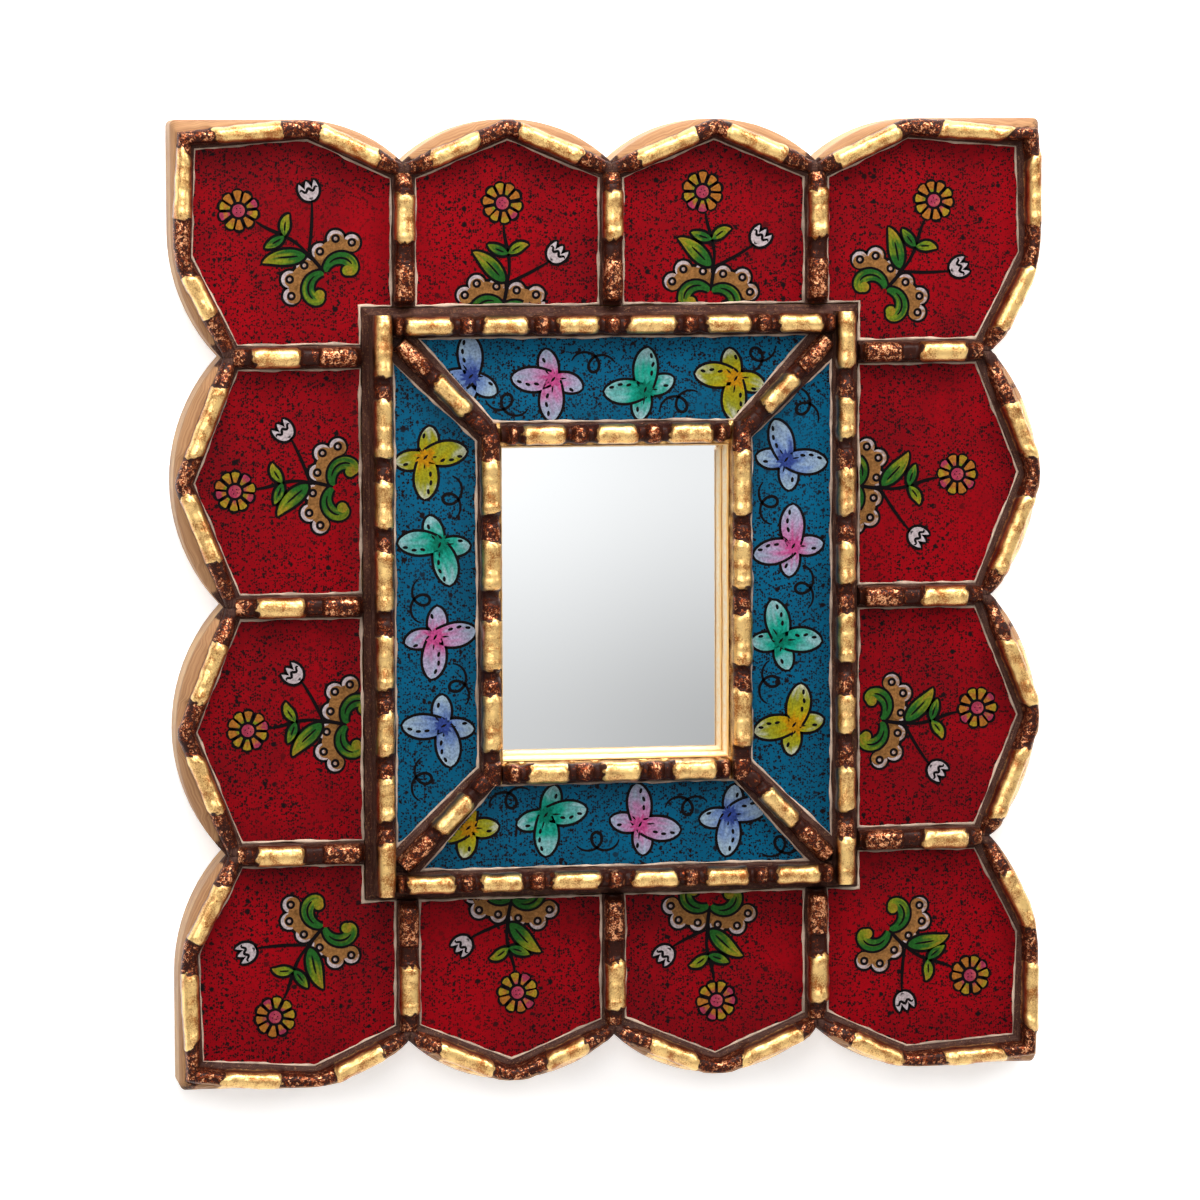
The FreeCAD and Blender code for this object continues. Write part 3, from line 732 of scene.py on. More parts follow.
def carving(run, beads, mounds, settings, rise=0.7):
    """How a moulding is carved along its run, at each point of its section.

    Beads and mounds are spans of the run. A bead's ends run askew by a seeded slant, and they are rounded:
    they draw back with the square of the place across. The leaf on them ends along a torn line of seeded
    waves. Outside the beads the crown falls to the nicks' depth by a smooth step, and there a mound rises
    again as an ellipse or, where it is long, as a superellipse. Near its ends a bead swells by a bell curve.
    """
    spot = run[:, None]
    bow = millimetres(settings.end_bow) * ACROSS**2
    inward = []
    for start, end in beads:
        tilt = np.random.default_rng(int(1000 * abs(start) + 10 * abs(end))).uniform(-1, 1, 2)
        first, last = millimetres(settings.end_slant) * tilt[:, None] * ACROSS
        inward.append(np.minimum(spot - start - first, end - spot - last) - bow)
    bead = np.max([smooth(-1.1, 0.6, e) for e in inward], axis=0)
    torn = LEAF_TEAR * ripple(spot, 2.4 * ACROSS[None], int(100 * run[-1]), TEAR_LENGTH)
    gilt = np.max([smooth(-0.5, 0.6, e + torn) for e in inward], axis=0)
    swell = np.max([np.exp(-(((e - 1.8) / 1.3) ** 2)) for e in inward], axis=0)
    heap = np.zeros_like(bead)
    for start, end in mounds:
        q = np.abs(spot - (start + end) / 2) / ((end - start) / 2)
        exponent = 2 if end - start < SHORT_MOUND else 4
        heap = np.maximum(heap, np.clip(1 - q**exponent, 0, 1) ** (1 / exponent))
    nick = 1 - bead
    drop = nick * millimetres(settings.nick_depth) * (1 - rise * heap)
    lift = swell * bead * millimetres(settings.bead_swell) - drop
    dark = smooth(0.1, 0.6, nick)
    # copper: where the painted copper glints lie, full on the mounds and weaker in the pits; dark: the lacquer
    # of the nicks
    return {"lift": lift, "gilt": gilt, "copper": np.maximum(heap, 0.2) * dark, "dark": dark}


def gaps_between(beads, end):
    """The spans of a run that its beads leave free."""
    edges = [0.0, *(edge for bead in beads for edge in bead), end]
    return [(a, b) for a, b in zip(edges[::2], edges[1::2]) if b - a > 0.5]


def loft(track, seat, cut, settings, seed, **shape):
    """A moulding: at each step of its run, a section from its near foot over the crown to its far foot.

    The crown is a superellipse of exponent 2.3 about the bead line. The near flank falls from it to the foot
    by (1 - u)^2, and the far flank by the same or, when washed, by 1 - u^1.8. Slow waves leave it uneven.
    """
    run, line, near, far = track
    wobble = millimetres(settings.tool_wobble)
    near_reach, far_reach = (np.linalg.norm(foot - line, axis=1) for foot in (near, far))
    near_way, far_way = (near - line) / near_reach[:, None], (far - line) / far_reach[:, None]
    centre = cut["lift"][:, CROWN_MIDDLE]
    half = shape.get("half", millimetres(settings.bead_half_width))
    broad = half + 0.22 * np.minimum(centre, 0) + 0.35 * np.maximum(centre, 0)
    broad = broad + wobble * wander(run, seed, 9.0)
    near_half, far_half = np.minimum(broad, near_reach - 0.12), np.minimum(broad, far_reach - 0.12)
    spring = (shape["spring"] + 0.6 * centre)[:, None]
    top = shape["top"] + cut["lift"][:, CROWN] + wobble * wander(run, seed + 1, 7.0)[:, None]
    crown_side = np.where(CROWN_ACROSS < 0, near_half[:, None], far_half[:, None]) * CROWN_ACROSS
    crown_height = spring + (top - spring) * np.abs(np.sin(CROWN_ANGLE)) ** CROWN_POWER

    def flank(reach_side, half_side, foot, part):
        foot = np.broadcast_to(foot, run.shape)[:, None]
        side = half_side[:, None] + (reach_side - half_side)[:, None] * FALL
        return side, foot + (spring - SHOULDER - foot) * part

    near_side, near_height = flank(near_reach, near_half, shape["near_foot"], (1 - FALL) ** 2)
    far_part = 1 - FALL**1.8 if "far_wash" in shape else (1 - FALL) ** 2
    far_side, far_height = flank(far_reach, far_half, shape["far_foot"], far_part)
    ground = np.zeros((len(run), 1))
    side = np.hstack([-near_reach[:, None], -near_side[:, ::-1], crown_side, far_side, far_reach[:, None]])
    height = np.hstack([ground, near_height[:, ::-1], crown_height, far_height, ground])
    worn = ripple(run[:, None], np.arange(len(ACROSS))[None] * 0.9, seed + 2, 5.0) * wobble * 0.32
    worn[:, [0, 1, -2, -1]] = 0
    way = np.where((side < 0)[..., None], near_way[:, None], far_way[:, None])
    points = placed(line[:, None] + np.abs(side)[..., None] * way, seat + height + worn)

    gilt = cut["gilt"] * CROWN_COVER
    copper, dark = (cut[key] * np.clip(CROWN_COVER * 1.3, 0, 1) for key in ("copper", "dark"))
    wash = np.zeros_like(gilt)
    if "far_wash" in shape:
        hidden, washed = shape["far_hidden"][:, None], shape["far_wash"][:, None]
        wash[:, FAR_FLANK] = washed * (1 - hidden)
        wash[:, FAR_FLANK.start] *= 0.6
        bare = 1 - wash[:, FAR_FLANK]
        for mask in (gilt, copper, dark):
            mask[:, FAR_FLANK] = np.maximum(mask[:, FAR_FLANK] * bare, mask[:, CROWN][:, -1:] * hidden)
        patch = 0.75 + 0.45 * wander(run, seed + 5, 11.0)[:, None]
        edge = smooth(0.25, 0.85, ACROSS[FAR_EDGE])[None] * hidden * washed * patch
        wash[:, FAR_EDGE] = np.maximum(wash[:, FAR_EDGE], edge)
    if "near_gold" in shape:
        gilt[:, NEAR_EDGE] = np.maximum(gilt[:, NEAR_EDGE], shape["near_gold"] * GILDED_SIDE[::-1])
        dark[:, NEAR_FLANK] *= 0.2
        wash[:, NEAR_EDGE] = gilt[:, NEAR_EDGE]
    steps = np.diff(side, axis=1) ** 2 + np.diff(height, axis=1) ** 2
    around = np.hstack([ground, np.cumsum(np.sqrt(steps), axis=1)])
    along, strand = np.broadcast_to(run[:, None], side.shape), np.full_like(side, seed % 97)
    runs = np.stack([along, around, strand], axis=-1)
    count = len(ACROSS)
    ends = [end_quads(0, count, False), end_quads((len(run) - 1) * count, count, True)]
    quads = np.concatenate([grid_quads(len(run), count, wrap_columns=True), *ends])
    return points, quads, np.stack([gilt, copper, wash, dark], axis=-1), runs


def straight_track(name, axis, backwards, settings, beyond=0.0):
    """Stations along a straight solid: distances, the bead line, the near foot right of it, the far one left.

    The run goes up its axis, 0 for x and 1 for z, or backwards, and past the end of the solid by beyond.
    """
    low, high = (corner[[0, 2]] for corner in node_box(name))
    start, end = (low + high) / 2, (low + high) / 2
    start[axis], end[axis] = (high[axis], low[axis]) if backwards else (low[axis], high[axis])
    end[axis] += beyond * np.sign(end[axis])
    distance = np.linalg.norm(end - start)
    run = np.linspace(0, distance, int(distance / millimetres(settings.step)) + 2)
    direction = (end - start) / distance
    line = start + run[:, None] * direction
    across = left_of(direction) * (high - low)[1 - axis] / 2
    return run, line, line - across, line + across


def divider_names():
    """The solids between the petals, by name in order."""
    return sorted(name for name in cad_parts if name.startswith("divider"))


def carved(name, node_name, mouldings, context):
    """A piece made of mouldings, in a solid's place."""
    surface = Surface()
    for moulding in mouldings:
        surface.add(*moulding)
    gilded = finish("gilded moulding", moulding_finish, context.scene.mirror_gilding)
    piece = surface.make(name, gilded, sharp=50)
    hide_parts(node_name)


class PAINTEDMIRROR_OT_rims(bpy.types.Operator):
    """Carved rims of the petals: gilded beads along each side, a washed slope out to the scalloped edge"""

    bl_idname = "painted_mirror.rims"
    bl_label = "Petal Rims"

    # Where each bead starts and ends along its rim, clockwise

    beads = {
        "corner_top_left": ((11.7, 23.7), (38.3, 55.8), (66.7, 84.2), (94.0, 110.8)),
        "top_left": ((7.1, 20.6), (32.0, 49.6)),
        "top_right": ((7.1, 23.7), (32.5, 49.2)),
        "corner_top_right": ((5.0, 23.3), (34.2, 53.3), (65.0, 83.3), (94.2, 112.5)),
        "left_upper": ((12.9, 31.7), (41.7, 61.3)),
        "left_lower": ((12.5, 28.5), (43.3, 59.6)),
        "right_upper": ((15.0, 30.4), (41.3, 62.9)),
        "right_lower": ((13.3, 32.0), (43.8, 63.8)),
        "corner_bottom_left": ((8.3, 22.0), (36.7, 52.0), (67.5, 86.3), (94.6, 111.3)),
        "bottom_left": ((8.8, 20.6), (35.4, 50.8)),
        "bottom_right": ((5.4, 22.9), (35.4, 49.2)),
        "corner_bottom_right": ((10.8, 27.5), (37.0, 54.6), (67.5, 83.3), (95.0, 110.0)),
    }

    def execute(self, context):
        carve = context.scene.mirror_carving
        outline = board_outline()
        half = np.abs(outline).max(0)
        seat = front_height("frame_board")
        dividers = {name: np.mean(node_box(name), axis=0)[[0, 2]] for name in divider_names()}
        for index, petal in enumerate(PETALS):
            corners = front_corners("red_glass_" + petal)
            corners = corners[(np.abs(corners) > half - 20).any(1)]
            corners = corners[np.argsort(np.arctan2(corners[:, 0], corners[:, 1]))]
            track, hidden = self.stations(corners, dividers, outline, carve)
            run, beads = track[0], self.beads[petal]
            mounds = [(a - 0.2, b + 0.2) for a, b in gaps_between(beads, run[-1])]
            cut = carving(run, beads, mounds, carve)
            first, last = beads[0][0], beads[-1][1]
            end = np.maximum(1 - run / first, (run - last) / (run[-1] - last))
            cut["lift"] = cut["lift"] - 2.6 * smooth(0.1, 0.8, end)[:, None]
            cut["copper"] = 0.75 * cut["copper"] * (1 - smooth(0.6, 0.95, end))[:, None]
            cut["dark"] = cut["dark"] * (1 - smooth(0.65, 1.0, end))[:, None]
            shape = {"top": 8.4, "spring": 5.4, "near_foot": 2.6, "far_hidden": hidden}
            shape["far_foot"] = 2.2 + 0.4 * wander(run, RIM_FOOT_SEED + index, 14.0)
            shape["far_wash"] = 1 - smooth(0.35, 0.8, end)
            rim = loft(track, seat, cut, carve, SEEDS["rim"] + SEED_STEP * index, **shape)
            carved("carved_rim_" + petal, "rim_" + petal, [rim], context)
        return {"FINISHED"}

    def stations(self, corners, dividers, outline, carve):
        """Stations round a petal: distances, bead line, glass edge, board's edge, and which are hidden.

        The bead line lies a fixed offset outside the glass edge, at a corner from both sides. Where the edge
        faces right or down it is hidden, and the carver set the beads further out. Past the last corners the
        stations turn onto the middle lines of the dividers and end in the valleys of the outline.
        """
        offset = millimetres(carve.rim_offset)
        outwards = left_of(unit(np.diff(corners, axis=0)))
        bends = np.concatenate([outwards[:1], bends_of(outwards[1:], outwards[:-1]), outwards[-1:]])
        lengths = np.linalg.norm(np.diff(corners + offset * bends, axis=0), axis=1)
        near, way = [], []
        for i, side_length in enumerate(lengths):
            t = np.linspace(0, 1, int(side_length / millimetres(carve.step)) + 2)[:, None]
            t = t if i == len(lengths) - 1 else t[:-1]
            near.append(corners[i] + t * (corners[i + 1] - corners[i]))
            way.append(bends[i] + t * (bends[i + 1] - bends[i]))
        near, way = np.concatenate(near), np.concatenate(way)
        away = np.maximum(way[:, 0], -way[:, 1]) - np.maximum(-way[:, 0], way[:, 1])
        hidden = smooth(-0.3, 0.3, away)
        far = reach(near, unit(way), outline)
        room = np.linalg.norm(far - near, axis=1) / np.linalg.norm(way, axis=1)
        step_out = np.minimum(offset + millimetres(carve.rim_shift) * hidden, room - 1.4)
        line = near + way * step_out[:, None]
        leads = []
        for edge in (0, -1):
            corner = corners[edge]
            nearest = min(dividers, key=lambda name: np.linalg.norm(dividers[name] - corner))
            axis = 0 if above_or_below(nearest) else 1
            foot, outward = corner.copy(), np.sign(corner)
            foot[axis], outward[axis] = dividers[nearest][axis], 0.0
            valley = reach(foot[None], outward[None], outline)[0]
            u = np.linspace(0, 1, 9)[1:, None]
            goals = ((line, (foot + valley) / 2), (near, foot), (far, valley))
            leads.append([a[edge] + u * (b - a[edge]) for a, b in goals])
        lines = [np.concatenate([a[::-1], b, c]) for a, b, c in zip(leads[0], (line, near, far), leads[1])]
        hidden = np.concatenate([np.full(8, hidden[0]), hidden, np.full(8, hidden[-1])])
        run = np.concatenate([[0], np.cumsum(np.linalg.norm(np.diff(lines[0], axis=0), axis=1))])
        return (run, *lines), hidden


class PAINTEDMIRROR_OT_dividers(bpy.types.Operator):
    """Strips between the petals: copper glints next to the plinth, then lacquer, then a gilded bead"""

    bl_idname = "painted_mirror.dividers"
    bl_label = "Dividers"

    def execute(self, context):
        carve = context.scene.mirror_carving
        seat = front_height("frame_board")
        for index, name in enumerate(divider_names()):
            axis = 1 if above_or_below(name) else 0
            backwards = sum(node_box(name))[2 * axis] < 0
            track = straight_track(name, axis, backwards, carve, beyond=1.2)
            run, end = track[0], track[0][-1]
            shift = np.random.default_rng(DIVIDER_BEAD_SEED + index).uniform(-0.02, 0.02)
            start, stop = 0.485 + shift, 0.855 + shift
            mounds = [(0.03 * end, (start - 0.15) * end), ((stop + 0.05) * end, 1.1 * end)]
            cut = carving(run, [(start * end, stop * end)], mounds, carve)
            sunk = 2.6 * smooth(stop + 0.02, 1, run / end) + 1.2 * (1 - smooth(0, 0.05, run / end))
            cut["lift"] = cut["lift"] - sunk[:, None]
            shape = {"top": 8.3, "spring": 5.4, "near_foot": 2.5, "far_foot": 2.5, "half": 2.7}
            strip = loft(track, seat, cut, carve, SEEDS["divider"] + SEED_STEP * index, **shape)
            carved("carved_" + name, name, [strip], context)
        return {"FINISHED"}


# Nicks of the frames: the middle of each along its strip, and its width

PANEL_NICKS = {
    "top": ((-56.6, 3.6), (-38.9, 8.0), (-19.4, 8.0), (-1.0, 7.8), (19.4, 8.2), (38.9, 7.6), (56.8, 5.6)),
    "bottom": ((-57.0, 3.4), (-39.6, 7.0), (-21.4, 8.0), (-0.5, 8.6), (19.4, 7.8), (38.1, 7.6), (56.0, 5.2)),
    "left": ((-58.0, 5.6), (-41.1, 5.6), (-24.1, 6.0), (-4.0, 6.2), (17.4, 5.8), (35.4, 6.0), (56.3, 5.6)),
    "right": ((-59.0, 6.8), (-39.6, 8.8), (-20.8, 8.6), (0.3, 7.6), (18.5, 7.2), (38.2, 7.8), (56.5, 7.8)),
}
MIRROR_NICKS = {
    "top": ((-27.2, 5.2), (-9.6, 8.2), (9.6, 8.6), (27.4, 5.0)),
    "bottom": ((-27.4, 7.4), (-8.7, 9.2), (10.1, 8.6), (28.6, 5.6)),
    "left": ((-42.5, 10.0), (-20.0, 6.4), (0.3, 7.6), (20.2, 7.0), (42.5, 10.4)),
    "right": ((-42.8, 9.6), (-20.1, 6.6), (0.2, 6.4), (19.2, 6.4), (43.0, 7.4)),
}

# Where a nick's mound starts and ends, as shares of the nick's width

MOUND_PART = {"top": (0.25, 0.75), "bottom": (0.25, 0.75), "left": (-0.1, 0.68), "right": (0.32, 1.1)}


def frame_strips(context, prefix, nicks, **shape):
    """The four strips of a frame: bead rows with a mound in each nick, the mirror to the right of the run.

    In a level strip the mound is a knob in the middle of its nick. In an upright strip it is a slope in the
    lower part, under a dark pit.
    """
    carve = context.scene.mirror_carving
    seat = front_height("center_plinth")
    for index, side in enumerate(SIDES):
        name = f"{prefix}_{side}"
        level = above_or_below(side)
        axis = 0 if level else 1
        track = straight_track(name, axis, side in ("bottom", "right"), carve)
        run, end = track[0], track[0][-1]
        cuts = sorted((abs(middle - track[1][0, axis]) - width / 2, width) for middle, width in nicks[side])
        edges = [-9.0, *(edge for start, width in cuts for edge in (start, start + width)), end + 9]
        beads = [(a, b) for a, b in zip(edges[::2], edges[1::2]) if b > 1 and a < end - 1]
        low, high = MOUND_PART[side]
        mounds = [(start + low * width, start + high * width) for start, width in cuts]
        cut = carving(run, beads, mounds, carve, 0.95 if level else 0.7)
        cut["copper"] = cut["copper"] * (0.9 if level else 0.75)
        rounded = np.exp(-((run / 1.2) ** 2)) + np.exp(-(((end - run) / 1.2) ** 2))
        cut["lift"] = cut["lift"] - 1.1 * rounded[:, None]
        seed = SEEDS[prefix] + SEED_STEP * index
        strip = loft(track, seat, cut, carve, seed, top=8.4, spring=5.5, far_foot=2.5, **shape)
        carved("carved_" + name, name, [strip], context)


class PAINTEDMIRROR_OT_panel_frame(bpy.types.Operator):
    """Bead rows round the blue panes"""

    bl_idname = "painted_mirror.panel_frame"
    bl_label = "Panel Frame"

    def execute(self, context):
        frame_strips(context, "panel_frame", PANEL_NICKS, near_foot=2.5)
        return {"FINISHED"}


class PAINTEDMIRROR_OT_mirror_frame(bpy.types.Operator):
    """Broader bead rows round the mirror, gilded down to the glass on the inner side"""

    bl_idname = "painted_mirror.mirror_frame"
    bl_label = "Mirror Frame"

    def execute(self, context):
        frame_strips(context, "mirror_frame", MIRROR_NICKS, near_foot=3.0, near_gold=0.9, half=2.6)
        return {"FINISHED"}


class PAINTEDMIRROR_OT_sight_lining(bpy.types.Operator):
    """The gilded lining that leads from the mirror's frame down to the glass, drawn in long ridges"""

    bl_idname = "painted_mirror.sight_lining"
    bl_label = "Sight Lining"

    def execute(self, context):
        x = node_box("mirror_frame_right")[0][0]
        z = node_box("mirror_frame_top")[0][2]
        path, inward, run = round_path(np.array([(x, z), (-x, z), (-x, -z), (x, -z)]))
        lean = np.where((path[:, 0] > x - 0.01) | (path[:, 1] < 0.01 - z), 1.0, 0.3)
        surface = Surface()
        surface.add(*self.lining(path, inward, run, lean, context.scene.mirror_carving))
        ridged = finish("ridged gilding with painted light", self.lining_finish_painted_light, context.scene.mirror_gilding)
        piece = surface.make("sight_lining", ridged, sharp=60)
        return {"FINISHED"}

    def lining(self, path, inward, run, lean, carve):
        """At each station a section that slopes inward by u^0.8 from the frame to the glass.

        Ridges stand out from it by |sin(2 pi u^0.85)|^0.4, bent along the run by slow waves. The ridge value
        also goes to the finish as painted light: highlight on the crests, shade in the grooves, and darker
        along the foot at the glass.
        """
        top = front_height("center_plinth") + 3.2
        bottom = front_height("mirror_glass") + 0.04
        u = np.linspace(0, 1, 34)[None]
        closing = np.clip((run[-1] - run) / 6, 0, 1)[:, None]
        bend = 0.035 * wander(run, LINING_SEED, 60.0)[:, None] * closing
        ridge = np.abs(np.sin(2 * np.pi * (u**0.85 + bend))) ** 0.4
        # Painted shade and highlight: the finish colour follows the ridges, and is 0 in the grooves and along
        # the foot at the glass
        tone = (ridge * (1 - smooth(0.93, 1.0, u)))[..., None]
        slope = millimetres(carve.lining_slope) * lean[:, None] * u**0.8
        offset = slope + millimetres(carve.lining_ridge) * ridge * (1 - u**8)
        offset = offset + 0.04 * wander(run, LINING_SEED + 1, 8.0)[:, None] * closing
        height = np.broadcast_to(top + (bottom - top) * u, offset.shape)
        points = placed(path[:, None] + offset[..., None] * inward[:, None], height)
        runs = np.stack([np.broadcast_to(run[:, None], offset.shape), height, np.zeros_like(offset)], axis=-1)
        ridge_light_and_shade = np.concatenate([tone, tone, tone, np.ones_like(tone)], axis=-1)
        return points, grid_quads(*offset.shape, wrap_rows=True), ridge_light_and_shade, runs

    def lining_finish_painted_light(self, leaf, gilding):
        """Pale gold leaf with streaks along the ridges, and painted light: shade in the grooves and highlights
        on the crests.
        """
        lines = leaf.use(streaks, run=leaf.attribute("run")["Vector"], squeeze=(0.04, 2.4, 1.0))["Height"]
        ridge = leaf.first_channel(leaf.attribute("finish")["Color"]) + (lines - 0.5) * 0.9
        # Painted shade in the grooves, gold on the ridges
        tone = leaf.blend(leaf.ramp(ridge, 0.25, 0.65), gilding.gold_rubbed_and_groove_shade, gilding.gold)
        # Painted highlight: near-white on the crests of the ridges, in spots
        spots = leaf.ramp(leaf.noise(leaf.place, 900.0, 3.0), 0.3, 0.6, 0.5, 1.0)
        tone = leaf.blend(leaf.ramp(ridge, 0.7, 1.0) * spots, tone, shade(255, 240, 212))
        return leaf.feed(base_color=tone, metallic=0.3, roughness=0.4, normal=leaf.bump(lines, 0.5, 0.3))


class PAINTEDMIRROR_OT_mitres(bpy.types.Operator):
    """Slanted strips between the blue panes: a gilded bead, lacquer and copper glints on a flared foot"""

    bl_idname = "painted_mirror.mitres"
    bl_label = "Mitre Strips"

    def execute(self, context):
        carve = context.scene.mirror_carving
        seat = front_height("center_plinth")
        strips = []
        for index, (x, z) in enumerate(((-1, 1), (1, 1), (-1, -1), (1, -1))):
            level = self.pane_end("blue_glass_top" if z > 0 else "blue_glass_bottom", 0, x)
            upright = self.pane_end("blue_glass_left" if x < 0 else "blue_glass_right", 1, z)
            left_side, right_side = (level, upright) if x * z > 0 else (upright, level)
            full = np.linalg.norm((left_side[1] - left_side[0] + right_side[1] - right_side[0]) / 2)
            run = np.linspace(-1.5, full + 2.5, int(full / millimetres(carve.step)) + 8)
            part = run / full
            near, far = (side[0] + part[:, None] * (side[1] - side[0]) for side in (right_side, left_side))
            mounds = [(-0.2 * full, 0.17 * full), (0.73 * full, 1.2 * full)]
            cut = carving(run, [(0.25 * full, 0.64 * full)], mounds, carve)
            sunk = 1.4 * smooth(0.85, 1.08, part) + 1.0 * (1 - smooth(-0.06, 0.1, part))
            cut["lift"] = cut["lift"] - sunk[:, None]
            cut["copper"] = cut["copper"] * (0.4 + 0.6 * smooth(0.2, 0.6, part))[:, None]
            track = (run - run[0], (near + far) / 2, near, far)
            shape = {"top": 8.2, "spring": 5.4, "near_foot": 2.3, "far_foot": 2.3}
            strips.append(loft(track, seat, cut, carve, SEEDS["mitre"] + SEED_STEP * index, **shape))
        carved("carved_mitre_strips", "mitre_strips", strips, context)
        return {"FINISHED"}

    def pane_end(self, name, axis, sign):
        """The slanted end of a blue pane: its two corners furthest along the axis, the inner one first."""
        corners = front_corners(name)
        corners = corners[np.argsort(-corners[:, axis] * sign)[:2]]
        return corners[np.argsort(np.abs(corners[:, 1 - axis]))]


# Painted glass


class PAINTEDMIRROR_OT_red_panes(bpy.types.Operator):
    """Red paint with dark specks on the panes of the petals"""

    bl_idname = "painted_mirror.red_panes"
    bl_label = "Red Panes"

    def execute(self, context):
        glass = context.scene.mirror_glass
        paint = finish("red glass paint", pane_finish, glass.red, glass.red_shade, glass.red_cover, glass)
        for petal in PETALS:
            dress("red_glass_" + petal, paint)
        return {"FINISHED"}


class PAINTEDMIRROR_OT_blue_panes(bpy.types.Operator):
    """Blue paint with dark specks on the panes round the mirror"""

    bl_idname = "painted_mirror.blue_panes"
    bl_label = "Blue Panes"

    def execute(self, context):
        glass = context.scene.mirror_glass
        paint = finish("blue glass paint", pane_finish, glass.blue, glass.blue_shade, glass.blue_cover, glass)
        for side in SIDES:
            dress("blue_glass_" + side, paint)
        return {"FINISHED"}


class PAINTEDMIRROR_OT_putty(bpy.types.Operator):
    """Uneven cream lines of putty where the panes meet the mouldings"""

    bl_idname = "painted_mirror.putty"
    bl_label = "Putty Lines"

    def execute(self, context):
        glass = context.scene.mirror_glass
        surface = Surface()
        names = ["red_glass_" + petal for petal in PETALS] + ["blue_glass_" + side for side in SIDES]
        for index, name in enumerate(names):
            surface.add(*self.bead(name, millimetres(glass.putty_width), SEEDS["putty"] + index))
        cream = finish("cream putty", putty_finish, glass, context.scene.mirror_gilding)
        piece = surface.make("putty_lines", cream, sharp=60)
        return {"FINISHED"}

    def bead(self, name, width, seed):
        """A low half-round bead along a pane's edge: its middle and its width wander as it goes round."""
        path, inward, run = round_path(front_corners(name))
        closing = np.clip((run[-1] - run) / 6, 0, 1)
        middle = 0.05 + 0.2 * (wander(run, seed, 37.0) * closing)
        broad = width * (0.55 + 0.5 * wander(run, seed + 50, 17.0) * closing)
        broad = np.clip(broad, 0.16, None)
        theta = np.linspace(0, np.pi, 6)
        across = middle[:, None] + broad[:, None] * np.cos(theta)
        rise = np.sin(theta)[None] * (0.28 + 0.3 * broad)[:, None] - 0.05
        plan = path[:, None] + across[..., None] * inward[:, None]
        quads = grid_quads(len(path), 6, wrap_rows=True)[:, ::-1]
        return placed(plan, front_height(name) + rise), quads, np.ones((*plan.shape[:2], 4))


# Motifs

INK = shade(16, 10, 12)
CREAM = shade(206, 188, 190)
CREAM_COOL = shade(204, 190, 196)
TAN = shade(160, 110, 60)
TAN_DARK = shade(128, 86, 44)
LEAF = shade(38, 100, 36)
LEAF_LIGHT = shade(126, 140, 30)
LEAF_TIP = shade(172, 134, 40)
AMBER = shade(180, 112, 42)
YELLOW = shade(174, 142, 38)
ROSE = shade(174, 58, 86)
ROSE_LIGHT = shade(206, 96, 96)
WINGS = {
    "blue": (shade(52, 72, 144), shade(114, 142, 192), shade(150, 174, 202), shade(164, 188, 204)),
    "pink": (shade(202, 78, 140), shade(192, 130, 174), shade(176, 164, 194), shade(166, 182, 204)),
    "teal": (shade(0, 124, 98), shade(22, 164, 140), shade(104, 180, 176), shade(158, 198, 202)),
    "yellow": (shade(202, 140, 8), shade(172, 160, 20), shade(158, 158, 38), shade(196, 198, 172)),
}


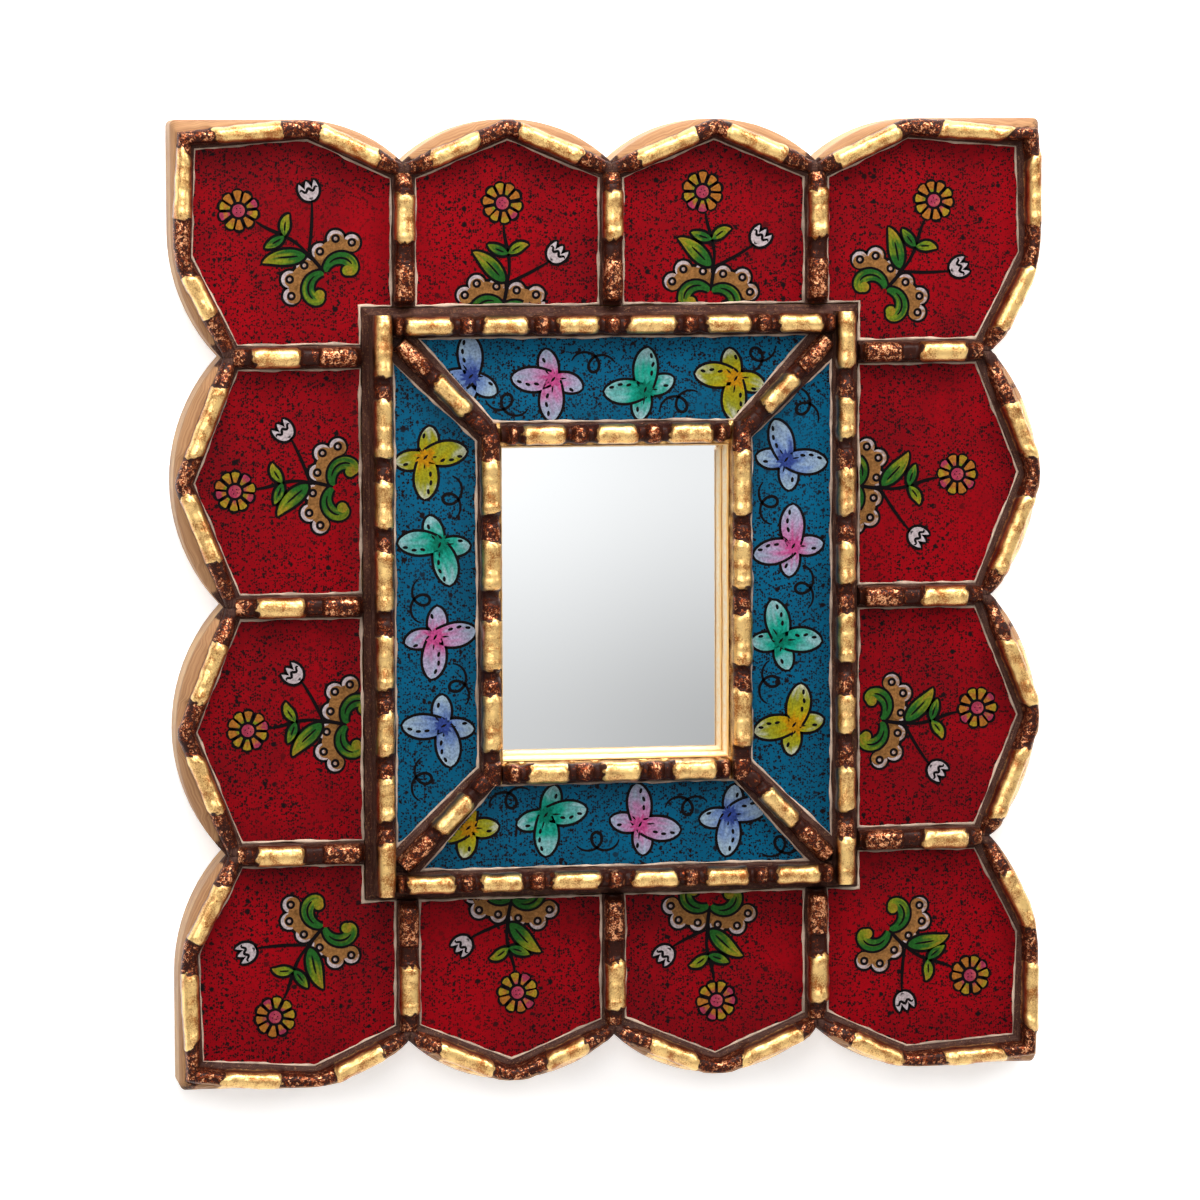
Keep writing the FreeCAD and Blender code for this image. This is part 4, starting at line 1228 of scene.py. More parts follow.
class Painter:
    """Lays strokes of paint on one pane: each is a strip about a line, on the layer that it is given."""

    def __init__(self, surface, pane, motifs, seed):
        self.surface, self.layer = surface, millimetres(motifs.layer)
        self.ground = front_height(pane) + self.layer
        self.edge = front_corners(pane)
        self.line = millimetres(motifs.line_width) / 2
        self.random = np.random.default_rng(seed)

    def strip(self, path, half, layer, colours, columns=3):
        """A strip of paint: points at path + t half n, where t runs from -1 to 1 and n is square to the path.

        colours is one colour, or a function of the share along the path and of t. Quads that reach outside
        the pane are left off.
        """
        path = np.asarray(path, float)
        half = np.broadcast_to(half, len(path))
        direction = unit(np.gradient(path, axis=0))
        t = np.linspace(-1, 1, columns)
        plan = path[:, None] + (half[:, None] * t)[..., None] * left_of(direction)[:, None]
        grid = plan.shape[:2]
        s = np.broadcast_to(np.linspace(0, 1, len(path))[:, None], grid)
        if callable(colours):
            paint = colours(s, np.broadcast_to(t, grid))
        else:
            paint = np.broadcast_to(colours, (*grid, 3))
        quads = grid_quads(*grid)
        kept = inside(plan.reshape(-1, 2), self.edge)[quads].all(1)
        points = placed(plan, self.ground + layer * self.layer)
        self.surface.add(points, quads[kept], np.concatenate([paint, np.ones((*grid, 1))], axis=-1))

    def stroke(self, path, layer, width=1.0, tone=INK):
        """A brush line that thins at its ends."""
        s = np.linspace(0, 1, len(path))
        self.strip(path, self.line * width * (0.35 + 0.65 * np.sin(np.pi * s) ** 0.5), layer, tone)

    def disc(self, centre, radius, layer, colours, points=13, columns=7):
        """A round dab: a strip along a diameter whose half width is a circle's."""
        a = np.linspace(0, np.pi, points)
        path = np.asarray(centre) + np.stack([-radius * np.cos(a), np.zeros(points)], axis=1)
        self.strip(path, radius * np.sin(a), layer, colours, columns)

    def blade(self, path, half, layer, colours, peak=1.0, blunt=0.8, columns=7, root=0.0):
        """A leaf, wing or petal with its outline: half width times sin(pi s^peak)^blunt along its line.

        s runs from the root's value to 1, so that a blade with a root above 0 starts broad.
        """
        s = np.linspace(0, 1, len(path))
        profile = np.clip(np.sin(np.pi * (root + (1 - root) * s) ** peak), 0, 1) ** blunt
        rim = path + unit(np.gradient(path, axis=0)) * (2 * s - 1)[:, None] * self.line * 1.25
        self.strip(rim, half * profile + self.line * 1.5 * np.sin(np.pi * s) ** 0.3, layer, INK, 5)
        self.strip(path, half * profile, layer + 1, colours, columns)

    def wash(self, *stops, streak=0.25, bright=0.12):
        """A colour that runs through its stops from root to tip, with brush streaks along it."""
        stops = np.array(stops)
        seed = int(self.random.integers(1 << 30))

        def colours(s, t):
            drift = np.clip(s + streak * ripple(s * 1.5, t * 1.2, seed, 1.0), 0, 1) * (len(stops) - 1)
            first = np.minimum(drift.astype(int), len(stops) - 2)
            part = smooth(0, 1, drift - first)[..., None]
            paint = stops[first] * (1 - part) + stops[first + 1] * part
            return np.clip(paint * (1 + bright * ripple(s * 0.7, t * 2.5, seed + 1, 1.0)[..., None]), 0, 1)

        return colours


class PAINTEDMIRROR_OT_sprigs(bpy.types.Operator):
    """A flower sprig on each red pane: a daisy, leaves and a white bud over two scalloped shells"""

    bl_idname = "painted_mirror.sprigs"
    bl_label = "Flower Sprigs"

    # Middle of the daisy, root of the stem, foot of the bud, and turn of the shells in degrees

    places = {
        "corner_top_left": ((-96.7, 101.8), (-78.9, 90.7), (-77.8, 104.4), 41),
        "top_left": ((-28.4, 103.4), (-27.1, 83.0), (-15.9, 88.5), -11),
        "top_right": ((24.2, 106.1), (27.2, 86.7), (37.9, 92.4), -8),
        "corner_top_right": ((85.9, 103.5), (77.4, 85.2), (90.4, 85.1), -42),
        "left_upper": ((-98.3, 29.9), (-79.1, 32.2), (-83.8, 43.5), 77),
        "left_lower": ((-95.5, -31.9), (-76.1, -29.7), (-81.7, -19.1), 79),
        "right_upper": ((92.4, 31.7), (71.8, 28.2), (79.7, 16.8), -98),
        "right_lower": ((98.0, -30.2), (78.4, -34.0), (85.1, -45.1), -99),
        "corner_bottom_left": ((-89.1, -106.7), (-80.4, -88.3), (-94.1, -88.6), 139),
        "bottom_left": ((-25.4, -102.3), (-28.1, -83.7), (-38.1, -87.7), 168),
        "bottom_right": ((27.6, -106.1), (25.1, -87.2), (15.4, -91.7), 173),
        "corner_bottom_right": ((96.2, -101.5), (78.6, -93.4), (77.6, -105.5), -136),
    }

    def execute(self, context):
        motifs = context.scene.mirror_motifs
        surface = Surface()
        for index, petal in enumerate(PETALS):
            *points, turn = self.places[petal]
            painter = Painter(surface, "red_glass_" + petal, motifs, motifs.seed + index)
            self.sprig(painter, *(np.array(point) for point in points), turn, motifs)
        piece = surface.make("flower_sprigs", finish("motif paint", motif_finish, motifs.glass_tint))
        return {"FINISHED"}

    def sprig(self, painter, flower, root, bud, turn, motifs):
        """One sprig: shells, stem and leaves are drawn upright over the root, then turned and put in place.

        turn is how far the line between the shells is turned from upright. The stem and the bud's stalk are
        Bezier curves from the root. Shells lie on layers 1 to 9, stems and the flower's ground on 9 to 10,
        leaves, bud and petals on 10 to 12, and fine marks above.
        """
        bloom, bud = turned(flower - root, -turn), turned(bud - root, -turn)

        def at(points):
            return root + turned(points, turn)

        self.shells(painter, at)
        top = bloom * (1 - 0.9 * millimetres(motifs.flower_radius) / np.linalg.norm(bloom))
        side = 0.1 * left_of(bloom)
        stem = bezier([(0, -0.5), 0.35 * bloom - side, 0.5 * bloom + 0.3 * side, top], 24)
        painter.stroke(at(stem), 9)
        painter.stroke(at(bezier([(0.2, 0.2), 0.35 * bud - 0.06 * left_of(bud), bud], 18)), 9, 0.9)
        big = bezier([(-0.8, 0.2), (-3.4, 1.6), (-6.6, 5.2), (-10.4, 6.0)], 26)
        painter.blade(at(big), 1.9, 10, painter.wash(LEAF, LEAF, LEAF_LIGHT, LEAF_TIP), peak=0.85)
        painter.stroke(at(big[5:17]), 12, 0.55)
        knot, way = stem[10], unit(bloom)

        def leaf_line(*steps):
            return bezier([knot, *(knot + up * way + across * left_of(way) for up, across in steps)], 18)

        right = leaf_line((0.6, -1.6), (2.2, -3.2), (1.8, -5.4))
        left = leaf_line((0.4, 1.5), (1.6, 3.4), (2.6, 5.2))
        painter.blade(at(right), 1.2, 10, painter.wash(LEAF, LEAF_LIGHT, LEAF_LIGHT, LEAF_TIP))
        painter.blade(at(left), 1.15, 10, painter.wash(LEAF, LEAF, LEAF_LIGHT))
        for line in (right, left):
            painter.stroke(at(line[4:12]), 12, 0.5)
        self.tulip(painter, at, bud)
        self.daisy(painter, at, bloom, motifs)

    def daisy(self, painter, at, centre, motifs):
        """A ring of wedge petals with rounded ends on a scalloped black ground, about a dotted middle."""
        radius, count = millimetres(motifs.flower_radius), motifs.petal_count
        painter.disc(at(centre), 0.84 * radius, 9, INK, 17, 9)
        first = painter.random.uniform(0, 360)
        s = np.linspace(0, 1, 14)
        ends = np.sqrt(np.clip(1 - np.clip((s - 0.72) / 0.28, 0, 1) ** 3, 0, 1))
        for k in range(count):
            way = turned((0, 1), first + 360 * k / count + painter.random.uniform(-3, 3))
            spoke = 0.4 + (0.48 + painter.random.uniform(-0.03, 0.03)) * s
            half = (spoke * radius * math.pi / count - 0.8 * painter.line) * ends
            painter.disc(at(centre + way * 0.72 * radius), 0.28 * radius, 9.3, INK)
            inner = (ROSE, AMBER, AMBER, LEAF_LIGHT)[painter.random.integers(4)]
            outer = (AMBER, AMBER, YELLOW, YELLOW, ROSE)[painter.random.integers(5)]
            path = at(centre + way * spoke[:, None] * radius)
            painter.strip(path, half, 11, painter.wash(inner, AMBER, outer, outer), 5)
        painter.disc(at(centre), 0.39 * radius, 11.5, INK)
        painter.disc(at(centre), 0.28 * radius, 12, painter.wash(ROSE, ROSE, ROSE_LIGHT))
        for k in range(4):
            spot = centre + turned((0, 0.12 * radius), first + 95 * k)
            painter.disc(at(spot), 0.17, 13, INK, 7, 3)

    def tulip(self, painter, at, foot):
        """A white bud: three pointed petals from one foot, turned from its stalk, under a zigzag line."""
        heading = math.degrees(math.atan2(-foot[0], foot[1])) + 22
        for spread, size in ((-23, 5.2), (23, 5.2), (0, 5.0)):
            tip = foot + turned((0, size), heading + spread)
            bend = foot + turned((0, 0.5 * size), heading + 2.1 * spread)
            white = painter.wash(CREAM, CREAM, CREAM_COOL)
            painter.blade(at(bezier([foot, bend, tip], 14)), 0.95, 10, white, 0.9, 0.75, 5)
        painter.disc(at(foot + turned((0, 2.0), heading)), 1.4, 11.3, painter.wash(CREAM, CREAM))
        x = np.linspace(-2.4, 2.4, 17)
        zigzag = np.stack([x, 2.7 + 0.45 * np.cos(3.2 * x)], axis=1)
        painter.stroke(at(foot + turned(zigzag, heading)), 13, 0.75)

    def shells(self, painter, at):
        """Two scalloped shells, each of three lobes with ringed dots over a tan band, and two scrolls."""
        lobes = ((2.7, -1.6, 2.1), (7.9, -1.8, 2.2), (10.4, -5.3, 2.1))
        scroll = [(0.3, -6.4), (2.4, -4.6), (6.2, -4.4), (8.8, -7.6)]
        scroll += [(8.0, -11.6), (4.8, -12.6), (3.5, -10.0), (5.4, -9.4)]
        outline = 1.3 * painter.line
        for side in (-1, 1):
            flip = np.array([side, 1.0])
            band = bezier([(0.4, -4.1), (4.6, -2.9), (8.5, -3.3), (10.0, -7.2)], 22)
            s = np.linspace(0, 1, 22)
            half = 2.9 * (0.55 + 0.45 * np.sin(np.pi * np.clip(s + 0.15, 0, 1)))
            half = (half * np.sqrt(np.clip((1 - s) / 0.18, 0.05, 1)))[::side]
            path = at(band * flip)[::side]
            painter.strip(path, half + outline, 1, INK, 5)
            for u, v, r in lobes:
                painter.disc(at((u * side, v)), r + 1.4 * painter.line, 1.3, INK)
            for u, v, r in lobes:
                painter.disc(at((u * side, v)), r, 3, painter.wash(CREAM, CREAM, TAN))
            painter.strip(path, half * 0.93, 3.4, painter.wash(TAN_DARK, TAN, TAN, TAN_DARK, bright=0.25), 7)
            for u, v, r in lobes:
                painter.disc(at((u * side * 0.97, v - 0.5)), r * 0.84, 4, painter.wash(TAN, TAN, bright=0.25))
                painter.disc(at((u * side, v)), 1.15, 5, INK, 11, 5)
                painter.disc(at((u * side, v)), 0.47, 6, painter.wash(CREAM, TAN), 9, 3)
            curl = bezier(scroll, 40) * flip
            grow = np.linspace(0, 1, 40)
            thick = 0.5 + 1.05 * np.sin(np.pi * np.clip(grow * 1.15, 0, 1)) ** 0.8
            path = at(curl)[::side]
            painter.strip(path, (thick + outline)[::side], 6.4, INK, 5)
            green = (LEAF, LEAF, LEAF_LIGHT, LEAF_TIP)[::side]
            painter.strip(path, thick[::side], 7.4, painter.wash(*green), 7)
            painter.disc(at(curl[-4]), 1.3 + outline, 6.5, INK)
            painter.disc(at(curl[-4]), 1.3, 7.6, painter.wash(LEAF_LIGHT, LEAF_TIP))
            painter.stroke(at(curl[5:22]), 8.4, 0.6)
        painter.stroke(at(bezier([(0, 0.6), (0.1, -3.0), (0, -6.4)], 12)), 8.6)


class PAINTEDMIRROR_OT_butterflies(bpy.types.Operator):
    """Butterflies and thin curls on the blue panes"""

    bl_idname = "painted_mirror.butterflies"
    bl_label = "Butterflies"

    # Middle, colour, and headings of the long and of the short wings in degrees

    places = {
        "top": (
            ((-37.5, 59.0), "blue", (95, 200), (-33, -110)),
            ((-16.0, 58.0), "pink", (177, -92), (104, -18)),
            ((8.2, 55.1), "teal", (86, 182), (22, -100)),
            ((32.1, 57.7), "yellow", (173, -92), (102, -18)),
        ),
        "bottom": (
            ((-38.8, -58.1), "yellow", (95, 185), (2, -100)),
            ((-18.4, -55.2), "teal", (7, -91), (73, 198)),
            ((6.5, -58.4), "pink", (95, -9), (167, -85)),
            ((30.3, -56.4), "blue", (11, -96), (80, 187)),
        ),
        "left": (
            ((-49.4, 38.3), "yellow", (7, -92), (82, 187)),
            ((-45.9, 15.6), "teal", (177, -76), (109, -2)),
            ((-47.2, -8.3), "pink", (9, -96), (86, 190)),
            ((-45.1, -31.3), "blue", (178, -81), (92, -7)),
        ),
        "right": (
            ((45.5, 36.4), "blue", (107, -4), (172, -85)),
            ((47.4, 13.8), "pink", (90, 192), (5, -98)),
            ((44.1, -10.9), "teal", (103, -2), (180, -75)),
            ((47.6, -33.1), "yellow", (80, 190), (10, -95)),
        ),
    }

    # Place, turn in degrees and hand of each tendril

    curls = {
        "top": ((-28.4, 52.0, 160, 1), (-5.2, 62.1, -10, 1), (17.5, 51.5, 20, 1), (38.0, 63.5, 40, -1)),
        "bottom": ((-27.7, -50.9, 15, 1), (-5.0, -62.5, 180, 1), (19.1, -53.8, 0, 1), (43.9, -64.9, 190, 1)),
        "left": ((-42.6, 27.4, -95, 1), (-50.9, 1.5, 85, 1), (-41.2, -21.0, -80, 1), (-50.7, -44.8, 80, 1)),
        "right": ((50.4, 50.0, -60, 1), (40.8, 25.4, 95, 1), (50.3, 2.7, -90, 1), (41.1, -21.5, 80, 1)),
    }

    def execute(self, context):
        motifs = context.scene.mirror_motifs
        surface = Surface()
        for index, side in enumerate(SIDES):
            painter = Painter(surface, "blue_glass_" + side, motifs, motifs.seed + 40 + index)
            for x, z, turn, hand in self.curls[side]:
                painter.stroke(np.array([x, z]) + turned(self.curl(hand), turn), 0, 0.85)
            for centre, tone, long_wings, short_wings in self.places[side]:
                self.butterfly(painter, np.array(centre), WINGS[tone], long_wings, short_wings, motifs)
        piece = surface.make("butterflies", finish("motif paint", motif_finish, motifs.glass_tint))
        return {"FINISHED"}

    def curl(self, hand):
        """A thin tendril: a trochoid, 0.6 a - 2 sin a by -2 cos a, so that one loop hangs from an arch."""
        a = np.linspace(-4.9, 4.3, 70)
        return 1.2 * np.stack([0.6 * a - 2 * np.sin(a), -2 * hand * np.cos(a)], axis=1)

    def butterfly(self, painter, centre, colours, long_wings, short_wings, motifs):
        """Two short wings under two long ones, each a pointed blade with dashes, and a hairy body."""
        root = np.array(colours[0])
        full = millimetres(motifs.wing_length)
        pairs = (
            (short_wings, 0.72 * full, 2.3, 1, (0.68,)),
            (long_wings, 0.98 * full, 2.9, 4, (0.4, 0.61, 0.82)),
        )
        for wings, span, half, layer, dashes in pairs:
            for heading in wings:
                tip = centre + turned((span, 0), heading)
                side = turned((0, 0.6), heading) * painter.random.choice([-1, 1])
                path = bezier([centre, (centre + tip) / 2 + side, tip], 24)
                paint = painter.wash(*colours, streak=0.22, bright=0.12)
                painter.blade(path, half, layer, paint, 1.45, 0.6, 9, root=0.24)
                edge = painter.random.choice([-1, 1]) * 0.55 * half
                for middle in dashes:
                    spot = centre + turned((span * middle, edge * math.sin(math.pi * middle**1.2)), heading)
                    slant = heading + painter.random.uniform(-20, 20)
                    dash = spot + turned(np.stack([np.linspace(-0.7, 0.7, 6), np.zeros(6)], axis=1), slant)
                    painter.stroke(dash, layer + 2, 0.8)
        painter.disc(centre, 1.5, 7, painter.wash(root, root))
        for k in range(11):
            heading = 360 * k / 11 + painter.random.uniform(-9, 9)
            hair = centre + turned([(0.9, 0), (1.6, 0), (painter.random.uniform(2.0, 3.0), 0)], heading)
            painter.stroke(hair, 7.4, 0.8, tuple(root))
            if k % 4 == 0:
                painter.stroke(hair + turned((0.9, 0), heading), 7.7, 0.5)
        heading = painter.random.uniform(20, 70)
        painter.stroke(centre + turned([(-0.8, 0), (0, 0), (0.8, 0)], heading), 8.5, 0.7)


# Board, plinth, mirror and back


class PAINTEDMIRROR_OT_board(bpy.types.Operator):
    """The board, washed with gold on its edge and bare behind, and the plinth with its gilded sight edge"""

    bl_idname = "painted_mirror.board"
    bl_label = "Board and Plinth"

    def execute(self, context):
        gilding = context.scene.mirror_gilding
        dress("frame_board", finish("washed board", self.board_finish, gilding))
        dress("center_plinth", finish("patinated plinth", self.plinth_finish, gilding))
        return {"FINISHED"}

    def board_finish(self, board, gilding):
        """Gold wash in streaks along the edge; straight grain on the bare back, told apart by the normal."""
        lines = board.grain(14.0, 1300.0, 14.0)
        wash = board.blend(lines["Mask"], gilding.wash_shade, gilding.wash)
        wash = board.blend(board.clouds(0.012) * 0.4, wash, gilding.gold)
        grain = board.grain(620.0, 300.0, 14.0)
        wood = board.blend(grain["Mask"], gilding.wood, gilding.wood_shade)
        pores = board.grain(2600.0, 900.0, 60.0)["Mask"]
        wood = board.blend(pores * 0.5, wood, gilding.wood_shade)
        tone = board.blend(board.ramp(board.facing(), 0.4, 0.6), wash, wood)
        bump = board.bump(lines["Height"] * 0.6 + grain["Height"] * 0.3, 0.5, 0.4)
        return board.feed(base_color=tone, roughness=0.52, normal=bump)

    def plinth_finish(self, plinth, gilding):
        """Dusty patina on the outer slope, pale gold in long ridges on the wall round the mirror."""
        sides = (node_box("mirror_frame_right")[0][0], node_box("mirror_frame_top")[0][2])
        split = plinth.add("SeparateXYZ", {0: plinth.place})
        across, up = (
            plinth.ramp(abs(split[axis]), (limit + 0.6) * MM, (limit + 1.0) * MM)
            for axis, limit in zip((0, 2), sides)
        )
        outer = across.larger(up)
        patina = plinth.blend(plinth.grain(90.0, 900.0, 90.0)["Mask"], shade(50, 24, 20), shade(92, 58, 48))
        patina = plinth.blend(plinth.clouds(0.008) * 0.85, patina, gilding.lacquer)
        grit = plinth.ramp(plinth.noise(plinth.place, 1700.0, 4.0, 0.65), 0.53, 0.68, 0.0, 0.5)
        patina = plinth.blend(grit, patina, gilding.wash_shade)
        ridges = plinth.grain(20.0, 1500.0, 20.0)
        gold = plinth.blend(ridges["Mask"], gilding.gold, shade(252, 232, 196))
        return plinth.feed(
            base_color=plinth.blend(outer, gold, patina),
            metallic=(1.0 - outer) * 0.2,
            roughness=0.48,
            normal=plinth.bump(ridges["Height"], 0.8, 0.8),
            specular_ior_level=0.14,
        )


class PAINTEDMIRROR_OT_looking_glass(bpy.types.Operator):
    """The silvered looking glass"""

    bl_idname = "painted_mirror.looking_glass"
    bl_label = "Looking Glass"

    def execute(self, context):
        dress("mirror_glass", finish("silvered glass", self.silver_finish))
        return {"FINISHED"}

    def silver_finish(self, glass):
        """Bright silver in front; the back and the sides are grey backing paint, told apart by the normal."""
        silvered = glass.ramp(glass.facing(), -0.9, -0.7, 1.0, 0.0)
        tone = glass.blend(silvered, shade(126, 128, 130), shade(244, 246, 247))
        haze = glass.ramp(glass.clouds(0.02), 0.0, 1.0, 0.012, 0.03)
        rough = glass.blend(silvered, (0.5, 0.5, 0.5), haze)
        return glass.feed(base_color=tone, metallic=silvered, roughness=rough)


class PAINTEDMIRROR_OT_back(bpy.types.Operator):
    """Hardboard panel, card packing, nails and the plated hanger"""

    bl_idname = "painted_mirror.back"
    bl_label = "Back and Hanger"

    def execute(self, context):
        dress("back_panel", finish("hardboard", self.fibre_finish, shade(120, 84, 56), shade(84, 56, 36)))
        dress("mirror_packing", finish("card", self.fibre_finish, shade(176, 142, 100), shade(150, 116, 78)))
        for name in ("back_panel_nails", "hanger_strap", "hanger_ring", "hanger_screws"):
            dress(name, finish("plated steel", self.steel_finish))
        return {"FINISHED"}

    def fibre_finish(self, fibre, light, dark):
        """Pressed fibre: blotches with fine flecks."""
        flecks = fibre.noise(fibre.place, 2200.0, 4.0, 0.7)
        tone = fibre.blend(fibre.clouds(0.01), light, dark)
        tone = fibre.blend(fibre.ramp(flecks, 0.52, 0.72, 0.0, 0.5), tone, dark)
        return fibre.feed(base_color=tone, roughness=0.7, normal=fibre.bump(flecks, 0.35, 0.25))

    def steel_finish(self, steel):
        """Zinc plate with a spangle of grey and faint rub marks."""
        marks = steel.noise(steel.place, 3000.0, 3.0)
        tone = steel.blend(steel.clouds(0.004), shade(196, 194, 188), shade(158, 156, 152))
        rough = steel.ramp(marks, 0.3, 0.7, 0.26, 0.44)
        return steel.feed(base_color=tone, metallic=1.0, roughness=rough, normal=steel.bump(marks, 0.12, 0.1))


# Stage


def bare_nodes(data):
    """The empty node tree of a material or a world."""
    data.use_nodes = True
    data.node_tree.nodes.clear()
    return Nodes(data.node_tree)


def seen_shiny(path):
    """Whether a ray comes from a reflection or through glass."""
    return path["Is Glossy Ray"].larger(path["Is Transmission Ray"])


class PAINTEDMIRROR_OT_stage(bpy.types.Operator):
    """A white wall and a pale floor, soft lamps, the room and the camera"""

    bl_idname = "painted_mirror.stage"
    bl_label = "Stage"

    def execute(self, context):
        studio = context.scene.mirror_studio
        context.scene.view_settings.view_transform = "Standard"
        self.camera(context, studio)
        self.wall("studio_wall", (0, 0.0008, 0), (1.6, 1.6), math.radians(90), 1.0, 0.45)
        self.wall("studio_floor", (0, -0.6, -0.55), (4.0, 2.4), 0.0, 0.45, 0.5)
        self.lamp("key", (-0.3, -1.25, 0.45), studio.key_power, (0.5, 0.5))
        self.lamp("top", (0.08, -0.48, 0.73), studio.top_power, (0.8, 0.4))
        self.lamp("left", (-0.95, -0.85, 0.45), 0.7 * studio.fill_power, (0.4, 0.6))
        self.lamp("right", (0.9, -0.85, 0.55), 1.1 * studio.fill_power, (0.4, 0.6))
        self.lamp("back", (0.5, 1.3, 0.9), studio.back_power, (1.0, 1.0))
        self.card()
        self.room(context, studio)
        return {"FINISHED"}

    def camera(self, context, studio):
        """The camera looks from its place at its target, turned by its roll about the line of sight."""
        data = bpy.data.cameras.new("camera")
        data.lens, data.sensor_width = studio.lens, 36.0
        stand, target = Vector(studio.camera_place), Vector(studio.camera_target)
        sight = (target - stand).to_track_quat("-Z", "Y").to_matrix()
        turn = sight @ Matrix.Rotation(studio.camera_roll, 3, "Z")
        camera = bpy.data.objects.new("camera", data)
        camera.matrix_world = Matrix.Translation(stand) @ turn.to_4x4()
        context.scene.collection.objects.link(camera)
        context.scene.camera = camera

    def plane(self, name, corners, material):
        """A four-cornered plane of the stage."""
        mesh = bpy.data.meshes.new(name)
        mesh.from_pydata([tuple(c) for c in corners], [], [(0, 1, 2, 3)])
        mesh.materials.append(material)
        plane = bpy.data.objects.new(name, mesh)
        bpy.context.scene.collection.objects.link(plane)
        plane.visible_shadow = False
        return plane

    def wall(self, name, centre, size, turn, tone, glow):
        """A pale plane seen from its front only: it keeps shadows and is lifted to white for the camera."""
        material = bpy.data.materials.new(name)
        nodes = bare_nodes(material)
        path = nodes.add("LightPath")
        matt = nodes.add("BsdfDiffuse", {"Color": (tone, tone, tone, 1.0)})[0]
        seen = path["Is Camera Ray"].larger(seen_shiny(path) * 0.8)
        light = nodes.add("Emission", {"Strength": seen * glow})[0]
        both = nodes.add("AddShader", {0: matt, 1: light})[0]
        behind = nodes.add("NewGeometry")["Backfacing"]
        mix = nodes.add("MixShader", {0: behind, 1: both, 2: nodes.add("BsdfTransparent")[0]})[0]
        nodes.add("OutputMaterial", {"Surface": mix})
        turned_by = Matrix.Translation(Vector(centre)) @ Matrix.Rotation(turn, 4, "X")
        x, y = size[0] / 2, size[1] / 2
        corners = [turned_by @ Vector(c) for c in ((-x, -y, 0), (x, -y, 0), (x, y, 0), (-x, y, 0))]
        self.plane(name, corners, material)

    def lamp(self, name, stand, watts, size):
        """A soft lamp that faces the mirror."""
        data = bpy.data.lights.new(name, "AREA")
        data.shape, data.energy = "RECTANGLE", watts
        data.size, data.size_y = size
        lamp = bpy.data.objects.new(name, data)
        lamp.location = stand
        lamp.rotation_euler = (-Vector(stand)).to_track_quat("-Z", "Y").to_euler()
        bpy.context.scene.collection.objects.link(lamp)

    def card(self):
        """A reflector that shows only in reflections: white at its upper left, grey at its lower right."""
        material = bpy.data.materials.new("reflector")
        nodes = bare_nodes(material)
        split = nodes.add("SeparateXYZ", {0: nodes.add("TexCoord")["Object"]})
        fall = nodes.ramp(split[2], -0.02, -0.16) * 0.44 + nodes.ramp(split[0], 0.12, 0.24) * 0.18
        light = nodes.add("Emission", {"Strength": 1.12 - fall})[0]
        nodes.add("OutputMaterial", {"Surface": light})
        corners = [(0.06, -1.0, -0.22), (0.06, -1.0, 0.02), (0.27, -1.0, 0.02), (0.27, -1.0, -0.22)]
        plane = self.plane("reflector", corners, material)
        plane.visible_camera = plane.visible_diffuse = False

    def room(self, context, studio):
        """White to the camera, and in reflections from behind; dim in front, less so in reflections."""
        world = bpy.data.worlds.new("studio")
        context.scene.world = world
        nodes = bare_nodes(world)
        path = nodes.add("LightPath")
        way = nodes.add("SeparateXYZ", {0: nodes.add("TexCoord")["Generated"]})
        shiny = seen_shiny(path)
        seen = path["Is Camera Ray"].larger(shiny * nodes.ramp(way[1], 0.0, 0.4))
        strength = nodes.ramp(seen, 0.0, 1.0, studio.room_light, 1.0)
        ahead = shiny * nodes.ramp(way[1], 0.0, -0.2)
        strength = strength + ahead * nodes.ramp(way[2], -0.5, 0.4, 0.05, 0.25)
        light = nodes.add("Background", {"Color": (1, 1, 1, 1), "Strength": strength})[0]
        nodes.add("OutputWorld", {"Surface": light})


PIECES = (
    PAINTEDMIRROR_OT_board,
    PAINTEDMIRROR_OT_red_panes,
    PAINTEDMIRROR_OT_blue_panes,
    PAINTEDMIRROR_OT_sprigs,
    PAINTEDMIRROR_OT_butterflies,
    PAINTEDMIRROR_OT_putty,
    PAINTEDMIRROR_OT_rims,
    PAINTEDMIRROR_OT_dividers,
    PAINTEDMIRROR_OT_panel_frame,
    PAINTEDMIRROR_OT_mirror_frame,
    PAINTEDMIRROR_OT_sight_lining,
    PAINTEDMIRROR_OT_mitres,
    PAINTEDMIRROR_OT_looking_glass,
    PAINTEDMIRROR_OT_back,
    PAINTEDMIRROR_OT_stage,
)
SETTINGS = {
    "mirror_glass": PaintedGlassSettings,
    "mirror_motifs": MotifSettings,
    "mirror_carving": CarvingSettings,
    "mirror_gilding": GildingSettings,
    "mirror_studio": StudioSettings,
}


class PAINTEDMIRROR_PT_panel(bpy.types.Panel):
    """Lists the mirror's settings and the pieces that can be built"""

    bl_label = "Painted Mirror"
    bl_space_type = "VIEW_3D"
    bl_region_type = "UI"
    bl_category = "Painted Mirror"

    def draw(self, context):
        for piece in PIECES:
            self.layout.operator(piece.bl_idname)
        for key, settings in SETTINGS.items():
            box = self.layout.box()
            for name in settings.__annotations__:
                box.prop(getattr(context.scene, key), name)


def register():
    for settings in SETTINGS.values():
        bpy.utils.register_class(settings)
    for key, settings in SETTINGS.items():
        setattr(bpy.types.Scene, key, PointerProperty(type=settings))
    for piece in (*PIECES, PAINTEDMIRROR_PT_panel):
        bpy.utils.register_class(piece)


def unregister():
    for piece in (*PIECES, PAINTEDMIRROR_PT_panel):
        bpy.utils.unregister_class(piece)
    for key, settings in SETTINGS.items():
        delattr(bpy.types.Scene, key)
        bpy.utils.unregister_class(settings)


def main():
    """Builds every piece in order."""
    register()
    for piece in PIECES:
        family, name = piece.bl_idname.split(".")
        getattr(getattr(bpy.ops, family), name)()
    bpy.context.view_layer.update()


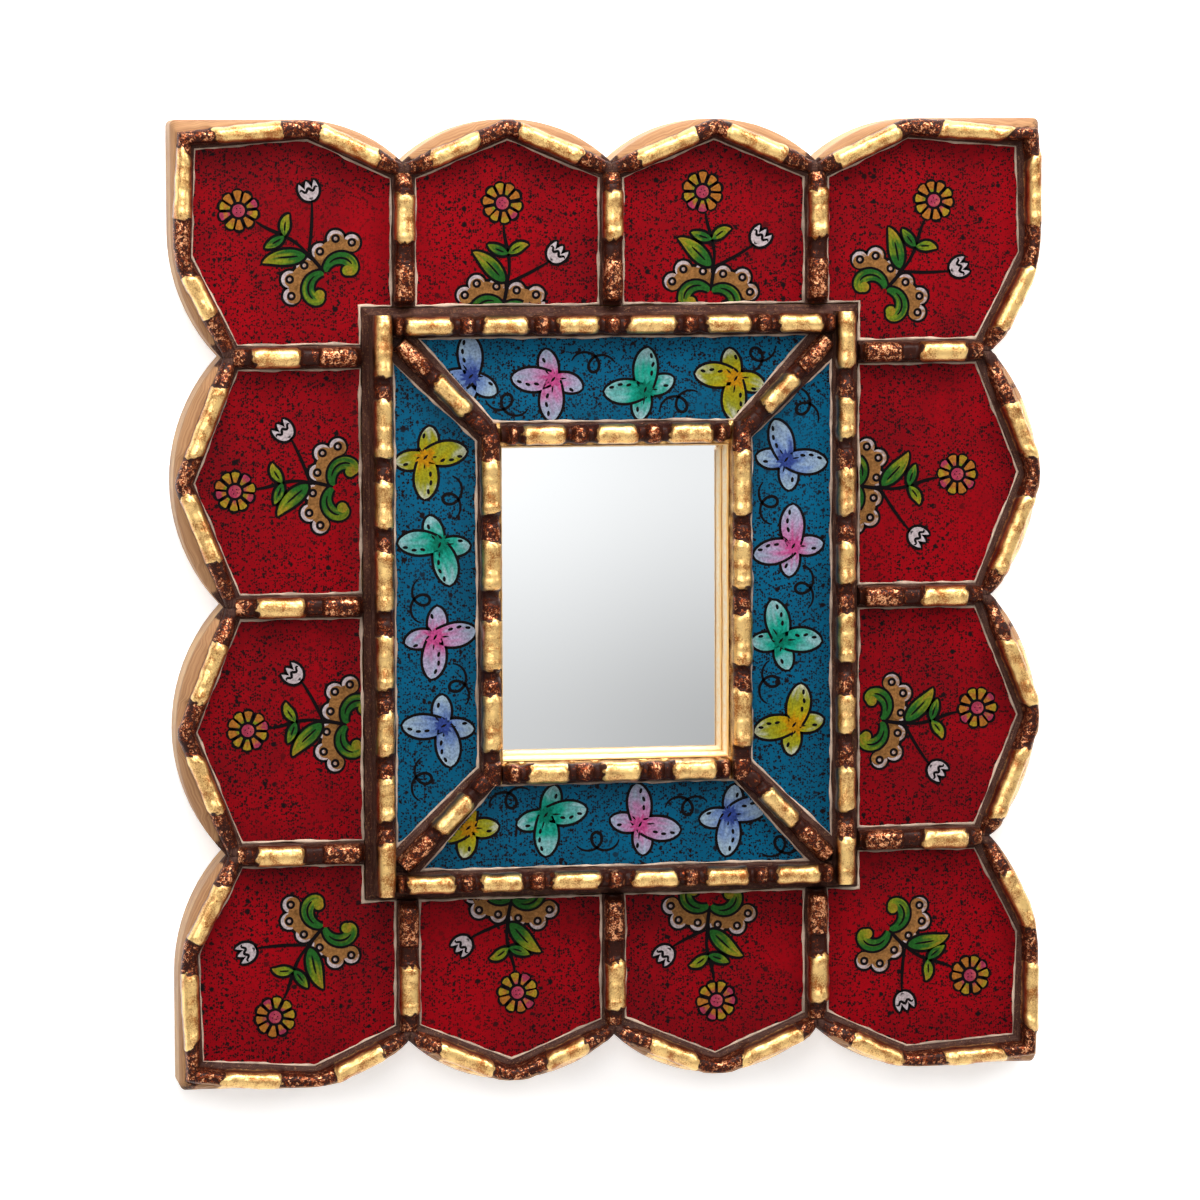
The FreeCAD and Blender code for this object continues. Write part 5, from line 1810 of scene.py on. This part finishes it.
if __name__ == "__main__":
    main()
